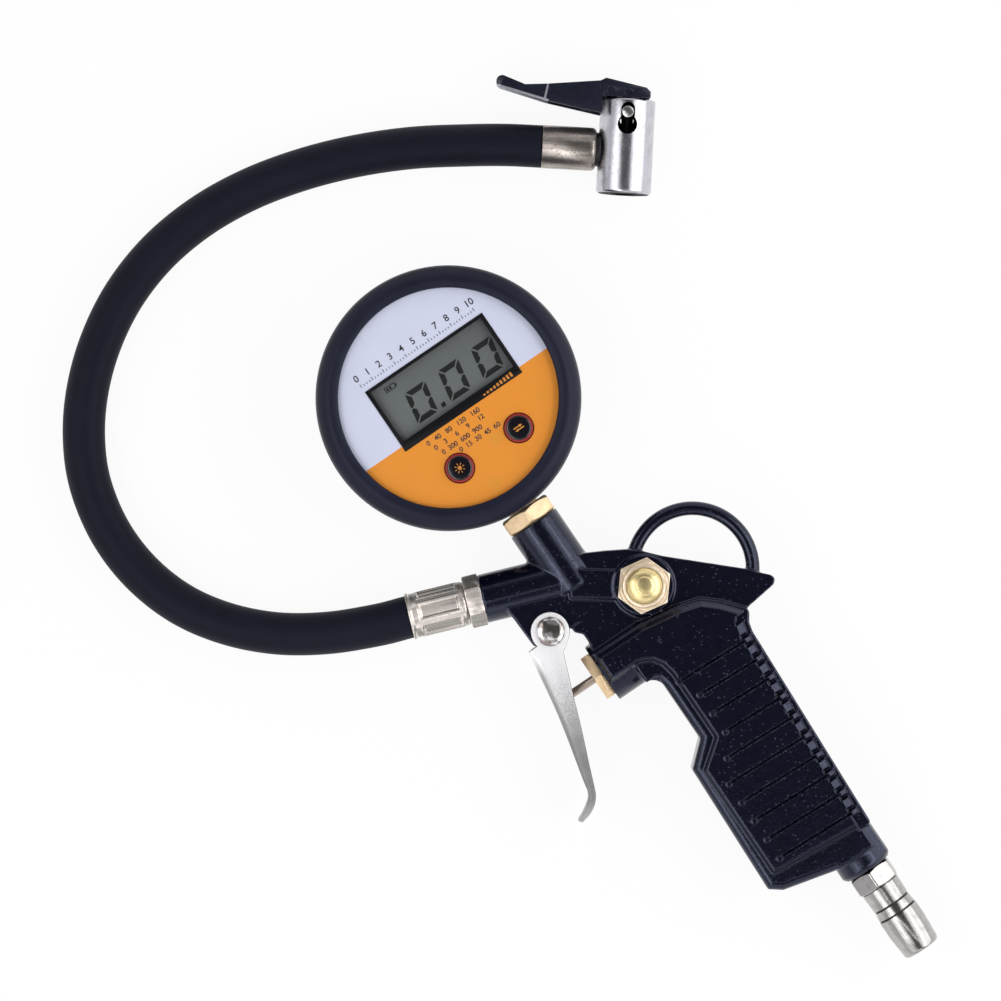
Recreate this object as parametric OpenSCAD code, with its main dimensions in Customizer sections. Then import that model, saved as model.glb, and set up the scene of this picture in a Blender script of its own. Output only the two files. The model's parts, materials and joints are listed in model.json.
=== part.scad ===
// Air-line tyre inflator: a cast trigger gun with a digital gauge, a short hose and a clip-on chuck.
// It lies on its side on the plane z = 0. Inside the modules x and y are measured from the axis of
// the bleed valve, y along the grip towards the gauge, and in_row_frame() moves that to the origin.

/* [Grip] */
// Thickness of the grip over its raised panels
grip_t = 24; // [22:0.5:30]
// Thickness of the grip at its rim, beside the panels
grip_rim_t = 19.8; // [19.4:0.2:21]
// Rear edge of the grip behind the bleed valve axis
grip_rear = 19.5; // [18:0.5:24]
// How far the rear edge comes forward by the foot of the grip
grip_rear_taper = 2.9; // [0:0.1:4]
// Front edge of the grip above the finger step
grip_neck_front = 12; // [11:0.5:15]
// Front edge of the grip below the finger step
grip_heel_front = 19.3; // [17:0.5:24]
// Distance of the finger step below the bleed valve
finger_step_y = 48; // [44:0.5:60]
// Distance of the foot of the grip below the bleed valve
grip_foot_y = 104.5; // [100:0.5:120]
// Width of the sloping rear and upper edges of a panel
panel_bevel = 2; // [1:0.1:3]
// Width of the steep front and lower edges of a panel
panel_edge = 0.8; // [0.5:0.1:1.5]
// Distance between two grooves
groove_pitch = 6.8; // [5:0.1:8]
// Radius of a groove
groove_r = 0.6; // [0.5:0.1:1.4]
// Number of grooves on each side
groove_count = 10; // [6:1:10]

/* [Gun body] */
// Thickness of the web between the bosses
web_t = 12; // [10:0.5:14]
// Tip of the spur behind the grip
spur_tip = 34.3; // [32:0.5:38]
// Radius of the hanging loop, to the middle of its bar
loop_r = 18.4; // [17:0.2:20]
// Diameter of the bar of the hanging loop
loop_bar_d = 4.3; // [3.5:0.1:5]
// Distance of the inlet axis behind the bleed valve axis
inlet_x = 8.1; // [7:0.1:9]
// Distance of the inlet face below the bleed valve
inlet_face_y = 110; // [108:0.5:130]
// Radius of the inlet boss
inlet_boss_r = 8.4; // [7.5:0.1:9]
// Radius of the boss that carries the gauge
gauge_boss_r = 8.2; // [7.4:0.1:9]
// Height of the gauge boss face above the bleed valve
gauge_boss_y = 34.5; // [32:0.5:38]
// Radius of the boss that carries the hose
outlet_boss_r = 7.5; // [7:0.1:8.5]
// Length of the hose boss from the gauge axis
outlet_len = 27.5; // [26:0.5:34]
// Angle of the hose boss above the front direction
outlet_tilt = 20.5; // [18:0.5:23]
// Height of the point where hose and gauge passages meet
junction_y = 14.4; // [13:0.1:16]

/* [Valves] */
// Radius of the boss around the inflate valve
valve_boss_r = 9.6; // [8.8:0.1:9.8]
// Distance of the inflate valve axis below the bleed valve
valve_y = 15.2; // [14:0.1:17]
// Distance of the valve boss face in front of the bleed valve axis
valve_face_x = 25.5; // [24:0.5:28]
// Width across the flats of the valve cartridge head
cartridge_af = 14.5; // [14:0.1:16]
// Radius of the valve cartridge barrel
cartridge_r = 6; // [5.6:0.1:6.4]
// Radius of the valve pin
valve_pin_r = 1.3; // [1:0.1:1.6]
// Travel of the valve pin at full trigger
valve_travel = 4.3; // [3:0.1:5]
// Width across the flats of the bleed valve
bleed_af = 15; // [14:0.1:16]
// Radius of the bleed button dome
bleed_button_r = 5.5; // [5:0.1:5.7]
// Travel of the bleed button
bleed_travel = 1.5; // [1:0.1:1.8]

/* [Trigger] */
// Trigger pivot in front of and above the bleed valve
trigger_pivot = [-31.3, 4.4]; // [-40:0.1:10]
// Radius of the trigger ears around the pivot
trigger_ear_r = 5.9; // [5.2:0.1:6.4]
// Thickness of the trigger sheet
trigger_sheet = 1.2; // [0.8:0.1:1.6]
// Width of the trigger between its ears
trigger_gap = 13; // [12.6:0.1:15]
// Radius of the trigger pin
trigger_pin_r = 2; // [1.5:0.1:2.5]
// Radius of the trigger pin's heads
trigger_head_r = 4.5; // [3.5:0.1:5]

/* [Inlet nipple] */
// Width across the flats of the nipple
nipple_af = 13; // [12:0.1:14]
// Radius of the nipple's locking shoulder
nipple_r = 6.5; // [6:0.1:7]
// Length of the nipple below the gun
nipple_len = 29.5; // [26:0.5:34]
// Radius of the air hole in the nipple
nipple_hole_r = 3.2; // [2.5:0.1:3.6]

/* [Gauge] */
// Gauge axis in front of the bleed valve axis
gauge_x = 17; // [16.5:0.1:17.5]
// Outer radius of the rubber boot
boot_r = 40.2; // [39:0.1:44]
// Depth of the boot
boot_t = 34; // [33.6:0.2:36]
// Wall of the boot
boot_wall = 3.6; // [3:0.1:4.4]
// Radius of the opening at the front of the boot
face_r = 33.2; // [32.6:0.1:34]
// Wall of the gauge case
case_wall = 2.2; // [1.6:0.1:2.6]
// Width across the flats of the gauge stem
stem_af = 16; // [15:0.1:17]
// Height of the gauge stem's hexagon
stem_hex_h = 5.4; // [4:0.1:7]
// Radius of the gauge stem
stem_r = 5; // [4.6:0.1:5.4]
// Width and height of the display bezel
bezel_size = [42.6, 21.7]; // [18:0.1:46]
// Centre of the bezel from the gauge centre
bezel_at = [1.5, 4.7]; // [0:0.1:6]
// Width of the bezel beside the display window
bezel_side = 1.3; // [0.8:0.1:2]
// Height of the bezel above the window
bezel_top = 1; // [0.8:0.1:2]
// Height of the band below the window
bezel_band = 2.9; // [2:0.1:3.2]
// Radius of a gauge button
button_r = 4.4; // [3.6:0.1:4.8]
// Distance of the buttons below the gauge centre
button_y = 19.4; // [18.6:0.1:20]
// Middle of the two buttons, behind the gauge centre
button_mid_x = 1.7; // [0:0.1:2]
// Distance between the two buttons
button_pitch = 21.5; // [18:0.5:23]
// Travel of a gauge button
button_travel = 0.8; // [0.5:0.1:1]

/* [Hose] */
// Outer diameter of the hose
hose_d = 13; // [11:0.2:14]
// Diameter of the hose bore
hose_bore_d = 6.4; // [5.6:0.2:7]
// Length of the hose ferrule at the gun
gun_ferrule_len = 18; // [14:0.5:20]
// Length of the hose ferrule at the chuck
chuck_ferrule_len = 16.5; // [14:0.5:20]
// Width across the flats of the hose nut at the gun
hose_nut_af = 14; // [13:0.1:15]
// Length of the hose nut at the gun
hose_nut_len = 5; // [4:0.5:7]

/* [Chuck] */
// Radius of the chuck
chuck_r = 8.4; // [8:0.1:9]
// Height of the chuck above the hose axis
chuck_top = 15.7; // [15.7:0.1:17]
// Depth of the chuck below the hose axis
chuck_bottom = 13.3; // [12.8:0.1:15]
// Radius of the chuck's inner bore
chuck_bore_r = 5.3; // [5.2:0.05:5.6]
// Radius of the mouth that takes a tyre valve
mouth_r = 4.2; // [4:0.05:4.4]
// Turn of the chuck's hose axis from the x axis
chuck_turn = 37.3; // [36:0.1:39]
// Width of the chuck lever at the chuck
lever_w = 15; // [14.8:0.1:17]
// Width of the chuck lever at its tip
lever_tip_w = 9; // [7:0.5:12]
// Thickness of the lever sheet
lever_sheet = 1; // [0.8:0.1:1.2]
// Radius of the cross pin behind the keyhole
cross_pin_r = 1.45; // [1.2:0.05:1.6]
// Radius of the cross pin's heads, seen in the keyhole
cross_head_r = 1.8; // [1.7:0.05:1.9]
// Radius of the chuck's plunger rod
rod_r = 1.8; // [1.5:0.1:2]
// Lift of the chuck's plunger
plunger_lift = 0.95; // [0.6:0.05:1]

/* [Hidden] */
$fn = 48;

// Clearances: a running fit on a moving pin, a loose fit round a fixed piece, a soft gap
run = 0.05;
seat = 0.02;
soft = 0.3;
cut = 0.1;

paint = [0.05, 0.05, 0.07];
rubber = [0.08, 0.08, 0.1];
brass = [0.78, 0.66, 0.4];
steel = [0.72, 0.72, 0.73];
chrome = [0.85, 0.85, 0.87];
nickel = [0.76, 0.74, 0.7];
black_plastic = [0.04, 0.04, 0.05];
seal_black = [0.1, 0.1, 0.1];

z_mid = grip_t / 2;
gauge_at = [-gauge_x, gauge_boss_y + stem_hex_h + boot_r + 0.1];
nipple_end_y = -inlet_face_y - nipple_len;
loop_at = [15.3, -4.3];
row_x = (gauge_at.x - boot_r + loop_at.x + loop_r + loop_bar_d / 2) / 2;
row_y = (gauge_at.y + boot_r + nipple_end_y) / 2;

module in_row_frame() translate([-row_x, -row_y, 0]) children();
module along_x() rotate([0, 90, 0]) children();
module along_y() rotate([-90, 0, 0]) children();

// ---- General shapes ----

module tube(r_out, r_in, h) difference() {
    cylinder(r = r_out, h = h);
    translate([0, 0, -cut]) cylinder(r = r_in, h = h + 2 * cut);
}

// Hexagonal bar with its corners turned off at both ends; a corner lies on +x
module hex_bar(af, h, bevel = 0.6) intersection() {
    cylinder(r = af / 2 / cos(30), h = h, $fn = 6);
    union() {
        corner_r = af / 2 / cos(30);
        rim = bevel * 0.58;
        cylinder(r1 = corner_r - bevel, r2 = corner_r, h = rim);
        translate([0, 0, rim]) cylinder(r = corner_r, h = h - 2 * rim);
        translate([0, 0, h - rim]) cylinder(r1 = corner_r, r2 = corner_r - bevel, h = rim);
    }
}

// Ring of round section, such as an O-ring, about the z axis
module round_ring(r_mid, r_wire) rotate_extrude() translate([r_mid, 0]) circle(r = r_wire, $fn = 20);

function unit(v) = v / norm(v);
function inward(a, b) = let (d = unit(b - a)) [-d.y, d.x];

// A counterclockwise outline, whose edge from point i on moves inward by d[i], with mitred corners
function inset(pts, d) = let (n = len(pts)) [
    for (i = [0 : n - 1])
        let (p = pts[i], n1 = inward(pts[(i + n - 1) % n], p), n2 = inward(p, pts[(i + 1) % n]),
             d1 = d[(i + n - 1) % n], d2 = d[i], c = n1 * n2)
            p + (d1 == d2 ? d1 * (n1 + n2) / (1 + c)
                : ((d1 - c * d2) * n1 + (d2 - c * d1) * n2) / (1 - c * c))
];

// Triangles that fill the corners ids of a counterclockwise outline: one ear is cut off at a time
function leans_left(a, b, c) = cross(b - a, c - a) > 0;
function is_ear(pts, a, b, c, ids) = leans_left(pts[a], pts[b], pts[c]) && len([
    for (k = ids)
        if (k != a && k != b && k != c && leans_left(pts[a], pts[b], pts[k])
            && leans_left(pts[b], pts[c], pts[k]) && leans_left(pts[c], pts[a], pts[k])) k
]) == 0;
function ears(pts, ids) = len(ids) == 3 ? [ids]
    : let (n = len(ids), tips = [
        for (i = [0 : n - 1]) if (is_ear(pts, ids[(i + n - 1) % n], ids[i], ids[(i + 1) % n], ids)) i
    ], tip = tips[0])
        concat([[ids[(tip + n - 1) % n], ids[tip], ids[(tip + 1) % n]]],
            ears(pts, [for (i = [0 : n - 1]) if (i != tip) ids[i]]));

// Prism on a counterclockwise outline, each of whose walls leans in by its own bevel
module bevelled(pts, z0, z1, bevel) {
    n = len(pts);
    ids = [for (i = [0 : n - 1]) i];
    top = inset(pts, bevel);
    polyhedron(
        points = concat([for (p = pts) [p.x, p.y, z0]], [for (p = top) [p.x, p.y, z1]]),
        faces = concat(
            ears(pts, ids),
            [for (t = ears(top, ids)) [n + t[2], n + t[1], n + t[0]]],
            [for (i = ids) [i, n + i, n + (i + 1) % n, (i + 1) % n]]
        )
    );
}

// Round bar through points; normal is a direction that the path never runs along
function tangent(p, i) = unit(p[min(i + 1, len(p) - 1)] - p[max(i - 1, 0)]);
module bar_through(p, r, sides, normal, first = undef, last = undef) {
    n = len(p);
    way = [for (i = [0 : n - 1])
        (i == 0 && first != undef) ? first : (i == n - 1 && last != undef) ? last : tangent(p, i)];
    ring = [for (i = [0 : n - 1])
        let (side = unit(cross(normal, way[i])), up = cross(way[i], side))
            for (k = [0 : sides - 1])
                p[i] + r * (cos(360 * k / sides) * side + sin(360 * k / sides) * up)];
    polyhedron(
        points = ring,
        faces = concat(
            [[for (k = [0 : sides - 1]) k]],
            [for (i = [0 : n - 2]) for (k = [0 : sides - 1]) let (m = (k + 1) % sides)
                [i * sides + m, i * sides + k, (i + 1) * sides + k, (i + 1) * sides + m]],
            [[for (k = [0 : sides - 1]) n * sides - 1 - k]]
        )
    );
}

// Coil spring about the z axis from 0 to h, with closed ends
module coil(r_mid, wire_r, h, turns) {
    steps = 12;
    total = (turns + 2) * steps;
    rise = h - 4 * wire_r - 2 * wire_r;
    path = [for (i = [0 : total])
        let (t = i / steps, up = min(max(t - 1, 0), turns) / turns,
             lift = wire_r + min(t, 1) * 2 * wire_r + up * rise + max(t - turns - 1, 0) * 2 * wire_r)
            [r_mid * cos(360 * t), r_mid * sin(360 * t), lift]];
    bar_through(path, wire_r * 0.98, 6, [0, 0, 1]);
}

// ---- Gun body ----

body_outline = [
    [-9.5, 18.4], [-17, 19], [-25, 15], [-25.4, 0], [-23.5, -2], [-23.5, -5], [-24.6, -9],
    [-14, -14], [-4, -28], [20, -28], [22, -23.4], [spur_tip - 1.3, -22], [spur_tip, -20.7],
    [spur_tip - 0.4, -19.2], [spur_tip - 2, -17.5], [29, -13.7], [10, 4], [5.5, 9], [2, 12], [-4, 15.5]
];

heel_x = -grip_heel_front - 1.4;
rear_foot_x = grip_rear - grip_rear_taper;
valve_under_y = -valve_y - valve_boss_r;

core_left_x = -valve_face_x + 0.7;
core_outline = [
    [core_left_x, -8.4], [core_left_x, -valve_y - 3.4], [-16, -valve_y - 3.4], [-16, valve_under_y],
    [-grip_neck_front, valve_under_y], [-grip_neck_front, -finger_step_y],
    [-grip_heel_front, -finger_step_y - 6.5], [heel_x, -grip_foot_y + 7],
    [heel_x + 3.7, -grip_foot_y + 4.2], [0, -grip_foot_y], [rear_foot_x - 3.2, -grip_foot_y],
    [rear_foot_x - 3.2, -grip_foot_y + 6.3], [rear_foot_x, -grip_foot_y + 6.7],
    [grip_rear, -30], [grip_rear + 0.7, -27.2], [22, -24.6], [22, -23], [17, -17], [12, -12.6],
    [5, -10.6], [-8, -8.6]
];

// The raised panel runs from the face of the valve boss down the grip. These are its front edges
// above and below the finger step
panel_front = -grip_neck_front + 3.9;
panel_heel = -grip_heel_front + 2.6;
panel_outline = [
    [core_left_x + 0.3, -valve_y - 3.2], [-14, -valve_y - 3.4], [-10.8, -20.2], [-8.9, -23],
    [panel_front, -27], [panel_front, -finger_step_y - 2], [panel_heel, -finger_step_y - 8.5],
    [panel_heel - 0.2, -grip_foot_y + 10], [rear_foot_x - 1.2, -grip_foot_y + 7.3],
    [grip_rear - 1.2, -29.5], [grip_rear - 0.5, -26.8], [21, -24], [20.8, -22.6], [16.5, -17.4],
    [11.7, -13.1], [4.8, -11.1], [-8, -9.1], [core_left_x + 0.3, -8.9]
];
// Its first edges, to the foot of the grip, and its last, at the valve boss, are the steep ones
panel_slopes = [for (i = [0 : len(panel_outline) - 1])
    i < 8 || i == len(panel_outline) - 1 ? panel_edge : panel_bevel];

// Left end of the groove at height y
function groove_start(y) =
    y > -finger_step_y - 4 ? panel_front + 3.5
    : y > -finger_step_y - 11 ? (panel_front + panel_heel) / 2 + 3.8
    : panel_heel + 4.2;

module web_plate() translate([0, 0, z_mid - web_t / 2]) linear_extrude(web_t) polygon(body_outline);

module grip_core() translate([0, 0, z_mid - grip_rim_t / 2]) linear_extrude(grip_rim_t)
    polygon(core_outline);

module on_both_sides() for (side = [0, 1]) translate([0, 0, z_mid]) mirror([0, 0, side]) children();

module grip_panels() on_both_sides()
    bevelled(panel_outline, grip_rim_t / 2 - 0.5, grip_t / 2, panel_slopes);

module grip_grooves() on_both_sides() for (i = [0 : groove_count - 1]) {
    y = -30 - i * groove_pitch;
    start = groove_start(y);
    translate([start, y, grip_t / 2]) rotate([0, 0, -2.5]) {
        along_x() cylinder(r = groove_r, h = grip_rear - 1 - start, $fn = 24);
        translate([0, 0, -groove_r]) along_x()
            cylinder(r = groove_r * 0.8, h = grip_rear - 1 - start, $fn = 24);
    }
}

// Fillet between the valve boss and the front of the grip
module boss_fillet() {
    fillet_r = 4;
    corner = [-grip_neck_front, valve_under_y];
    translate([corner.x - fillet_r, corner.y - fillet_r, z_mid - web_t / 2]) difference() {
        cube([fillet_r + 1, fillet_r + 1, web_t]);
        translate([0, 0, -cut]) cylinder(r = fillet_r, h = web_t + 2 * cut);
    }
}

module valve_boss() translate([-valve_face_x, -valve_y, z_mid]) along_x()
    cylinder(r = valve_boss_r, h = valve_face_x - 8);

module gauge_boss() translate([-gauge_x, junction_y - 3, z_mid]) along_y()
    cylinder(r = gauge_boss_r, h = gauge_boss_y - junction_y + 3);

// Local z runs from the junction of the passages out along the hose boss
module along_outlet() translate([-gauge_x, junction_y, z_mid]) rotate([0, 0, 180 - outlet_tilt])
    along_x() children();

module outlet_boss() along_outlet() cylinder(r = outlet_boss_r, h = outlet_len);

// Raised rib around the passage from the junction to the bleed valve
rib_from = [-gauge_x - 1, junction_y - 1.4];
rib_turn = atan2(-rib_from.y, -rib_from.x);
module passage_rib() translate([rib_from.x, rib_from.y, z_mid - web_t / 2 - 1.6]) rotate([0, 0, rib_turn])
    translate([0, -4.4, 0]) cube([norm(rib_from), 8.8, web_t + 3.2]);

bleed_boss_z = z_mid + 8;
bleed_hole_z = z_mid - 1.4;
module bleed_boss() translate([0, 0, z_mid])
    cylinder(r = bleed_af / 2 / cos(30) + 0.6, h = bleed_boss_z - z_mid);

lug_t = trigger_gap - 2 * soft;
lug_outline = [
    [-38.6, 19.5], [-38, 3.6], [-36.4, 2.2], [-34.9, 0.4], [-32.8, -0.7], [-30.4, -0.9],
    [-28.2, -0.1], [-26.4, 1.6], [-25, 2], [-22, 2], [-22, 15]
];
module trigger_lug() translate([0, 0, z_mid - lug_t / 2]) linear_extrude(lug_t) polygon(lug_outline);

module hang_loop() translate([loop_at.x, loop_at.y, z_mid]) rotate([0, 0, -44]) rotate_extrude(angle = 182)
    translate([loop_r, 0]) circle(d = loop_bar_d, $fn = 32);

module inlet_boss() translate([inlet_x, -inlet_face_y, z_mid]) along_y() {
    cylinder(r1 = inlet_boss_r - 1, r2 = inlet_boss_r, h = 1.2);
    translate([0, 0, 1.2]) cylinder(r = inlet_boss_r, h = 14);
}

thread_r = 4.85;
nipple_thread_len = 10;
stem_thread_len = 9;
tail_thread_len = 8;
passage_r = 2.2;
chamber_r = 5;
seat_x = -12;
// Room for the spring when the valve is fully open
spring_room = 8.4;
poppet_len = 3.3;
chamber_end_x = seat_x + poppet_len + valve_travel + spring_room;

module gun_passages() {
    translate([inlet_x, -inlet_face_y - cut, z_mid]) along_y()
        cylinder(r = thread_r + seat, h = nipple_thread_len + 2 + cut);
    translate([inlet_x, -inlet_face_y + nipple_thread_len, z_mid]) along_y()
        cylinder(r = 3, h = inlet_face_y - nipple_thread_len - valve_y + 2);
    translate([-valve_face_x - cut, -valve_y, z_mid]) along_x()
        cylinder(r = cartridge_r + seat, h = valve_face_x + seat_x + cut);
    translate([seat_x - cut, -valve_y, z_mid]) along_x()
        cylinder(r = chamber_r, h = chamber_end_x - seat_x + cut);
    translate([chamber_end_x - cut, -valve_y, z_mid]) along_x()
        cylinder(r = 3, h = inlet_x + 2 - chamber_end_x);
    translate([-gauge_x, -valve_y, z_mid]) along_y()
        cylinder(r = passage_r, h = valve_y + gauge_boss_y - stem_thread_len + cut);
    translate([-gauge_x, gauge_boss_y - stem_thread_len - 1, z_mid]) along_y()
        cylinder(r = thread_r + seat, h = stem_thread_len + 1 + cut);
    along_outlet() cylinder(r = passage_r, h = outlet_len - tail_thread_len);
    along_outlet() translate([0, 0, outlet_len - tail_thread_len - 1])
        cylinder(r = thread_r + seat, h = tail_thread_len + 1 + cut);
    translate([-gauge_x, junction_y - 3, z_mid]) rotate([0, 0, atan2(3 - junction_y, gauge_x)]) along_x()
        cylinder(r = 1.5, h = norm([gauge_x, junction_y - 3]));
    translate([0, 0, bleed_hole_z]) cylinder(r = thread_r + seat, h = grip_t);
    translate([trigger_pivot.x, trigger_pivot.y, 0]) cylinder(r = trigger_pin_r + seat, h = grip_t);
}

module gun_body() in_row_frame() color(paint) difference() {
    union() {
        web_plate();
        grip_core();
        grip_panels();
        boss_fillet();
        valve_boss();
        gauge_boss();
        outlet_boss();
        passage_rib();
        bleed_boss();
        trigger_lug();
        hang_loop();
        inlet_boss();
    }
    grip_grooves();
    gun_passages();
}

// ---- Inflate valve ----

gland_h = 3;
barrel_bore_r = 3.4;
barrel_bore_x = -20;
cross_hole_r = 1.8;
o_ring_r = 0.5;
cartridge_ring_x = -14.2;
pin_ring_x = -23;

module on_valve_axis(x) translate([x, -valve_y, z_mid]) along_x() children();

module valve_cartridge() in_row_frame() color(brass) difference() {
    union() {
        on_valve_axis(-valve_face_x - gland_h) hex_bar(cartridge_af, gland_h);
        on_valve_axis(-valve_face_x) cylinder(r = cartridge_r, h = valve_face_x + seat_x);
    }
    on_valve_axis(-valve_face_x - gland_h - cut) cylinder(r = valve_pin_r + run, h = valve_face_x);
    on_valve_axis(barrel_bore_x) cylinder(r = barrel_bore_r, h = seat_x - barrel_bore_x + cut);
    on_valve_axis(-gauge_x - 2.2) tube(cartridge_r + 1, cartridge_r - 1.2, 4.4);
    for (turn = [0, 90]) translate([-gauge_x, -valve_y, z_mid]) rotate([turn, 0, 0])
        translate([0, 0, -cartridge_r - 1]) cylinder(r = cross_hole_r, h = 2 * cartridge_r + 2);
    on_valve_axis(cartridge_ring_x - 0.6) tube(cartridge_r + 1, cartridge_r + seat - 2 * o_ring_r, 1.2);
    on_valve_axis(pin_ring_x - 0.6) cylinder(r = valve_pin_r + run + 2 * o_ring_r, h = 1.2);
}

module cartridge_o_ring() in_row_frame() color(seal_black)
    on_valve_axis(cartridge_ring_x) round_ring(cartridge_r + seat - o_ring_r, o_ring_r);

module pin_o_ring() in_row_frame() color(seal_black)
    on_valve_axis(pin_ring_x) round_ring(valve_pin_r + run + o_ring_r, o_ring_r);

poppet_gap = 0.1;
module valve_pin() in_row_frame() color(steel) {
    on_valve_axis(pin_dome_x) cylinder(r = valve_pin_r, h = seat_x + poppet_gap - pin_dome_x);
    translate([pin_dome_x, -valve_y, z_mid]) sphere(r = valve_pin_r);
}

poppet_seal_h = 1.2;
poppet_x = seat_x + poppet_gap;
poppet_r = chamber_r - 0.5;
poppet_disc_h = poppet_len - poppet_gap - poppet_seal_h;
poppet_back_x = seat_x + poppet_len;
poppet_hub_r = 2;
module poppet() in_row_frame() color(brass) {
    on_valve_axis(poppet_x) cylinder(r = poppet_hub_r, h = poppet_seal_h);
    on_valve_axis(poppet_x + poppet_seal_h) cylinder(r = poppet_r, h = poppet_disc_h);
    on_valve_axis(poppet_back_x) cylinder(r = poppet_hub_r, h = 3);
}

module poppet_seal() in_row_frame() color(seal_black)
    on_valve_axis(poppet_x) tube(poppet_r, poppet_hub_r + seat, poppet_seal_h);

module valve_spring() in_row_frame() color(steel)
    on_valve_axis(poppet_back_x + run) coil(3.7, 0.45, chamber_end_x - poppet_back_x - 2 * run, 4);

// ---- Trigger ----

blade_front = [
    [-40.3, 2.8], [-43.7, -18], [-48.4, -38.2], [-49.2, -42], [-50.3, -44.2], [-52.4, -45.9],
    [-54.6, -47.2], [-56.6, -48.1]
];
blade_back = [
    [-55.7, -49], [-52.4, -48.2], [-49.8, -46.7], [-48.2, -45], [-47.1, -43], [-44.1, -35.4],
    [-39.9, -25], [-36.4, -15.6], [-31.5, -3]
];

// The domed end of the valve pin stands a soft gap behind the front web of the trigger
web_lean = atan2(blade_front[0].x - blade_front[1].x, blade_front[0].y - blade_front[1].y);
web_x = blade_front[0].x + trigger_sheet - tan(web_lean) * (valve_y + blade_front[0].y);
pin_dome_x = web_x + (valve_pin_r + soft) / cos(web_lean);

module blade_shape() polygon(concat(blade_front, blade_back, [[trigger_pivot.x, blade_front[0].y]]));

module trigger_side() difference() {
    union() {
        blade_shape();
        translate(trigger_pivot) circle(r = trigger_ear_r);
    }
    translate(trigger_pivot) circle(r = trigger_pin_r + run);
}

module trigger_lever() in_row_frame() color(steel) {
    for (z = [z_mid - trigger_gap / 2 - trigger_sheet, z_mid + trigger_gap / 2])
        translate([0, 0, z]) linear_extrude(trigger_sheet) trigger_side();
    translate([0, 0, z_mid - trigger_gap / 2 - cut]) linear_extrude(trigger_gap + 2 * cut) difference() {
        blade_shape();
        translate([trigger_sheet, 0]) blade_shape();
    }
}

pin_head_h = 1.4;
trigger_half_w = trigger_gap / 2 + trigger_sheet;
module trigger_pin() in_row_frame() color(steel) translate([trigger_pivot.x, trigger_pivot.y, z_mid]) {
    translate([0, 0, -trigger_half_w - run]) cylinder(r = trigger_pin_r, h = 2 * (trigger_half_w + run));
    for (side = [0, 1]) mirror([0, 0, side]) translate([0, 0, trigger_half_w + run]) rotate_extrude()
        polygon([[0, 0], [trigger_head_r, 0], [trigger_head_r, 0.5], [trigger_head_r - 0.9, 1.05],
                 [trigger_head_r - 2.2, pin_head_h], [0, pin_head_h]]);
}

// ---- Bleed valve ----

gasket_h = 0.8;
bleed_hex_z = bleed_boss_z + gasket_h;
bleed_hex_h = 4;
collar_r = 6.8;
collar_h = 2;
collar_top_z = bleed_hex_z + bleed_hex_h + collar_h;
button_skirt_z = collar_top_z - 2.8;
bleed_cup_z = button_skirt_z - bleed_travel - 0.1;
bleed_stem_r = 1.3;
bleed_seat_z = bleed_hole_z + 4.2;
bleed_shank_z = bleed_hole_z + 0.3;

module bleed_body() in_row_frame() color(brass) difference() {
    union() {
        translate([0, 0, bleed_hex_z]) rotate([0, 0, -10]) hex_bar(bleed_af, bleed_hex_h, 0.8);
        translate([0, 0, bleed_hex_z + bleed_hex_h - cut])
            cylinder(r1 = collar_r + 0.2, r2 = collar_r - 0.3, h = collar_h + cut);
        translate([0, 0, bleed_shank_z]) cylinder(r = thread_r, h = bleed_hex_z - bleed_shank_z + cut);
    }
    translate([0, 0, bleed_cup_z]) cylinder(r = bleed_button_r + run, h = grip_t);
    translate([0, 0, bleed_shank_z - cut]) cylinder(r = 3.2, h = bleed_seat_z - bleed_shank_z + cut);
    translate([0, 0, bleed_seat_z - cut]) cylinder(r = bleed_stem_r + 0.5, h = grip_t);
    translate([0, 0, bleed_cup_z + 0.9]) rotate([0, 0, 140]) along_x()
        cylinder(r = 0.7, h = bleed_af, $fn = 20);
}

module bleed_gasket() in_row_frame() color(seal_black)
    translate([0, 0, bleed_boss_z]) tube(bleed_af / 2 - 0.6, thread_r + seat, gasket_h);

bleed_head_z = bleed_seat_z - 2.2;
bleed_spring_r = 3.9;
bleed_wire_r = 0.25;
spring_groove = 2.2;
groove_half = bleed_wire_r + 0.4;
module bleed_button() in_row_frame() color(brass) {
    translate([0, 0, button_skirt_z]) difference() {
        rotate_extrude() polygon([
            [0, 0], [bleed_button_r, 0], [bleed_button_r, 3.2], [bleed_button_r - 0.7, 4.1],
            [bleed_button_r - 2, 4.8], [bleed_button_r - 3.6, 5.2], [0, 5.3]
        ]);
        translate([0, 0, -cut])
            tube(bleed_spring_r + groove_half, bleed_spring_r - groove_half, spring_groove + cut);
    }
    translate([0, 0, bleed_head_z]) cylinder(r = bleed_stem_r, h = button_skirt_z - bleed_head_z + cut);
    translate([0, 0, bleed_head_z]) cylinder(r = 2.2, h = 0.6);
}

module bleed_seal() in_row_frame() color(seal_black)
    translate([0, 0, bleed_seat_z - 1.6]) tube(2.8, bleed_stem_r + seat, 1.5);

bleed_spring_h = button_skirt_z + spring_groove - bleed_cup_z;
module bleed_spring() in_row_frame() color(steel)
    translate([0, 0, bleed_cup_z + run]) coil(bleed_spring_r, bleed_wire_r, bleed_spring_h - 2 * run, 1);

// ---- Inlet nipple ----

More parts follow.
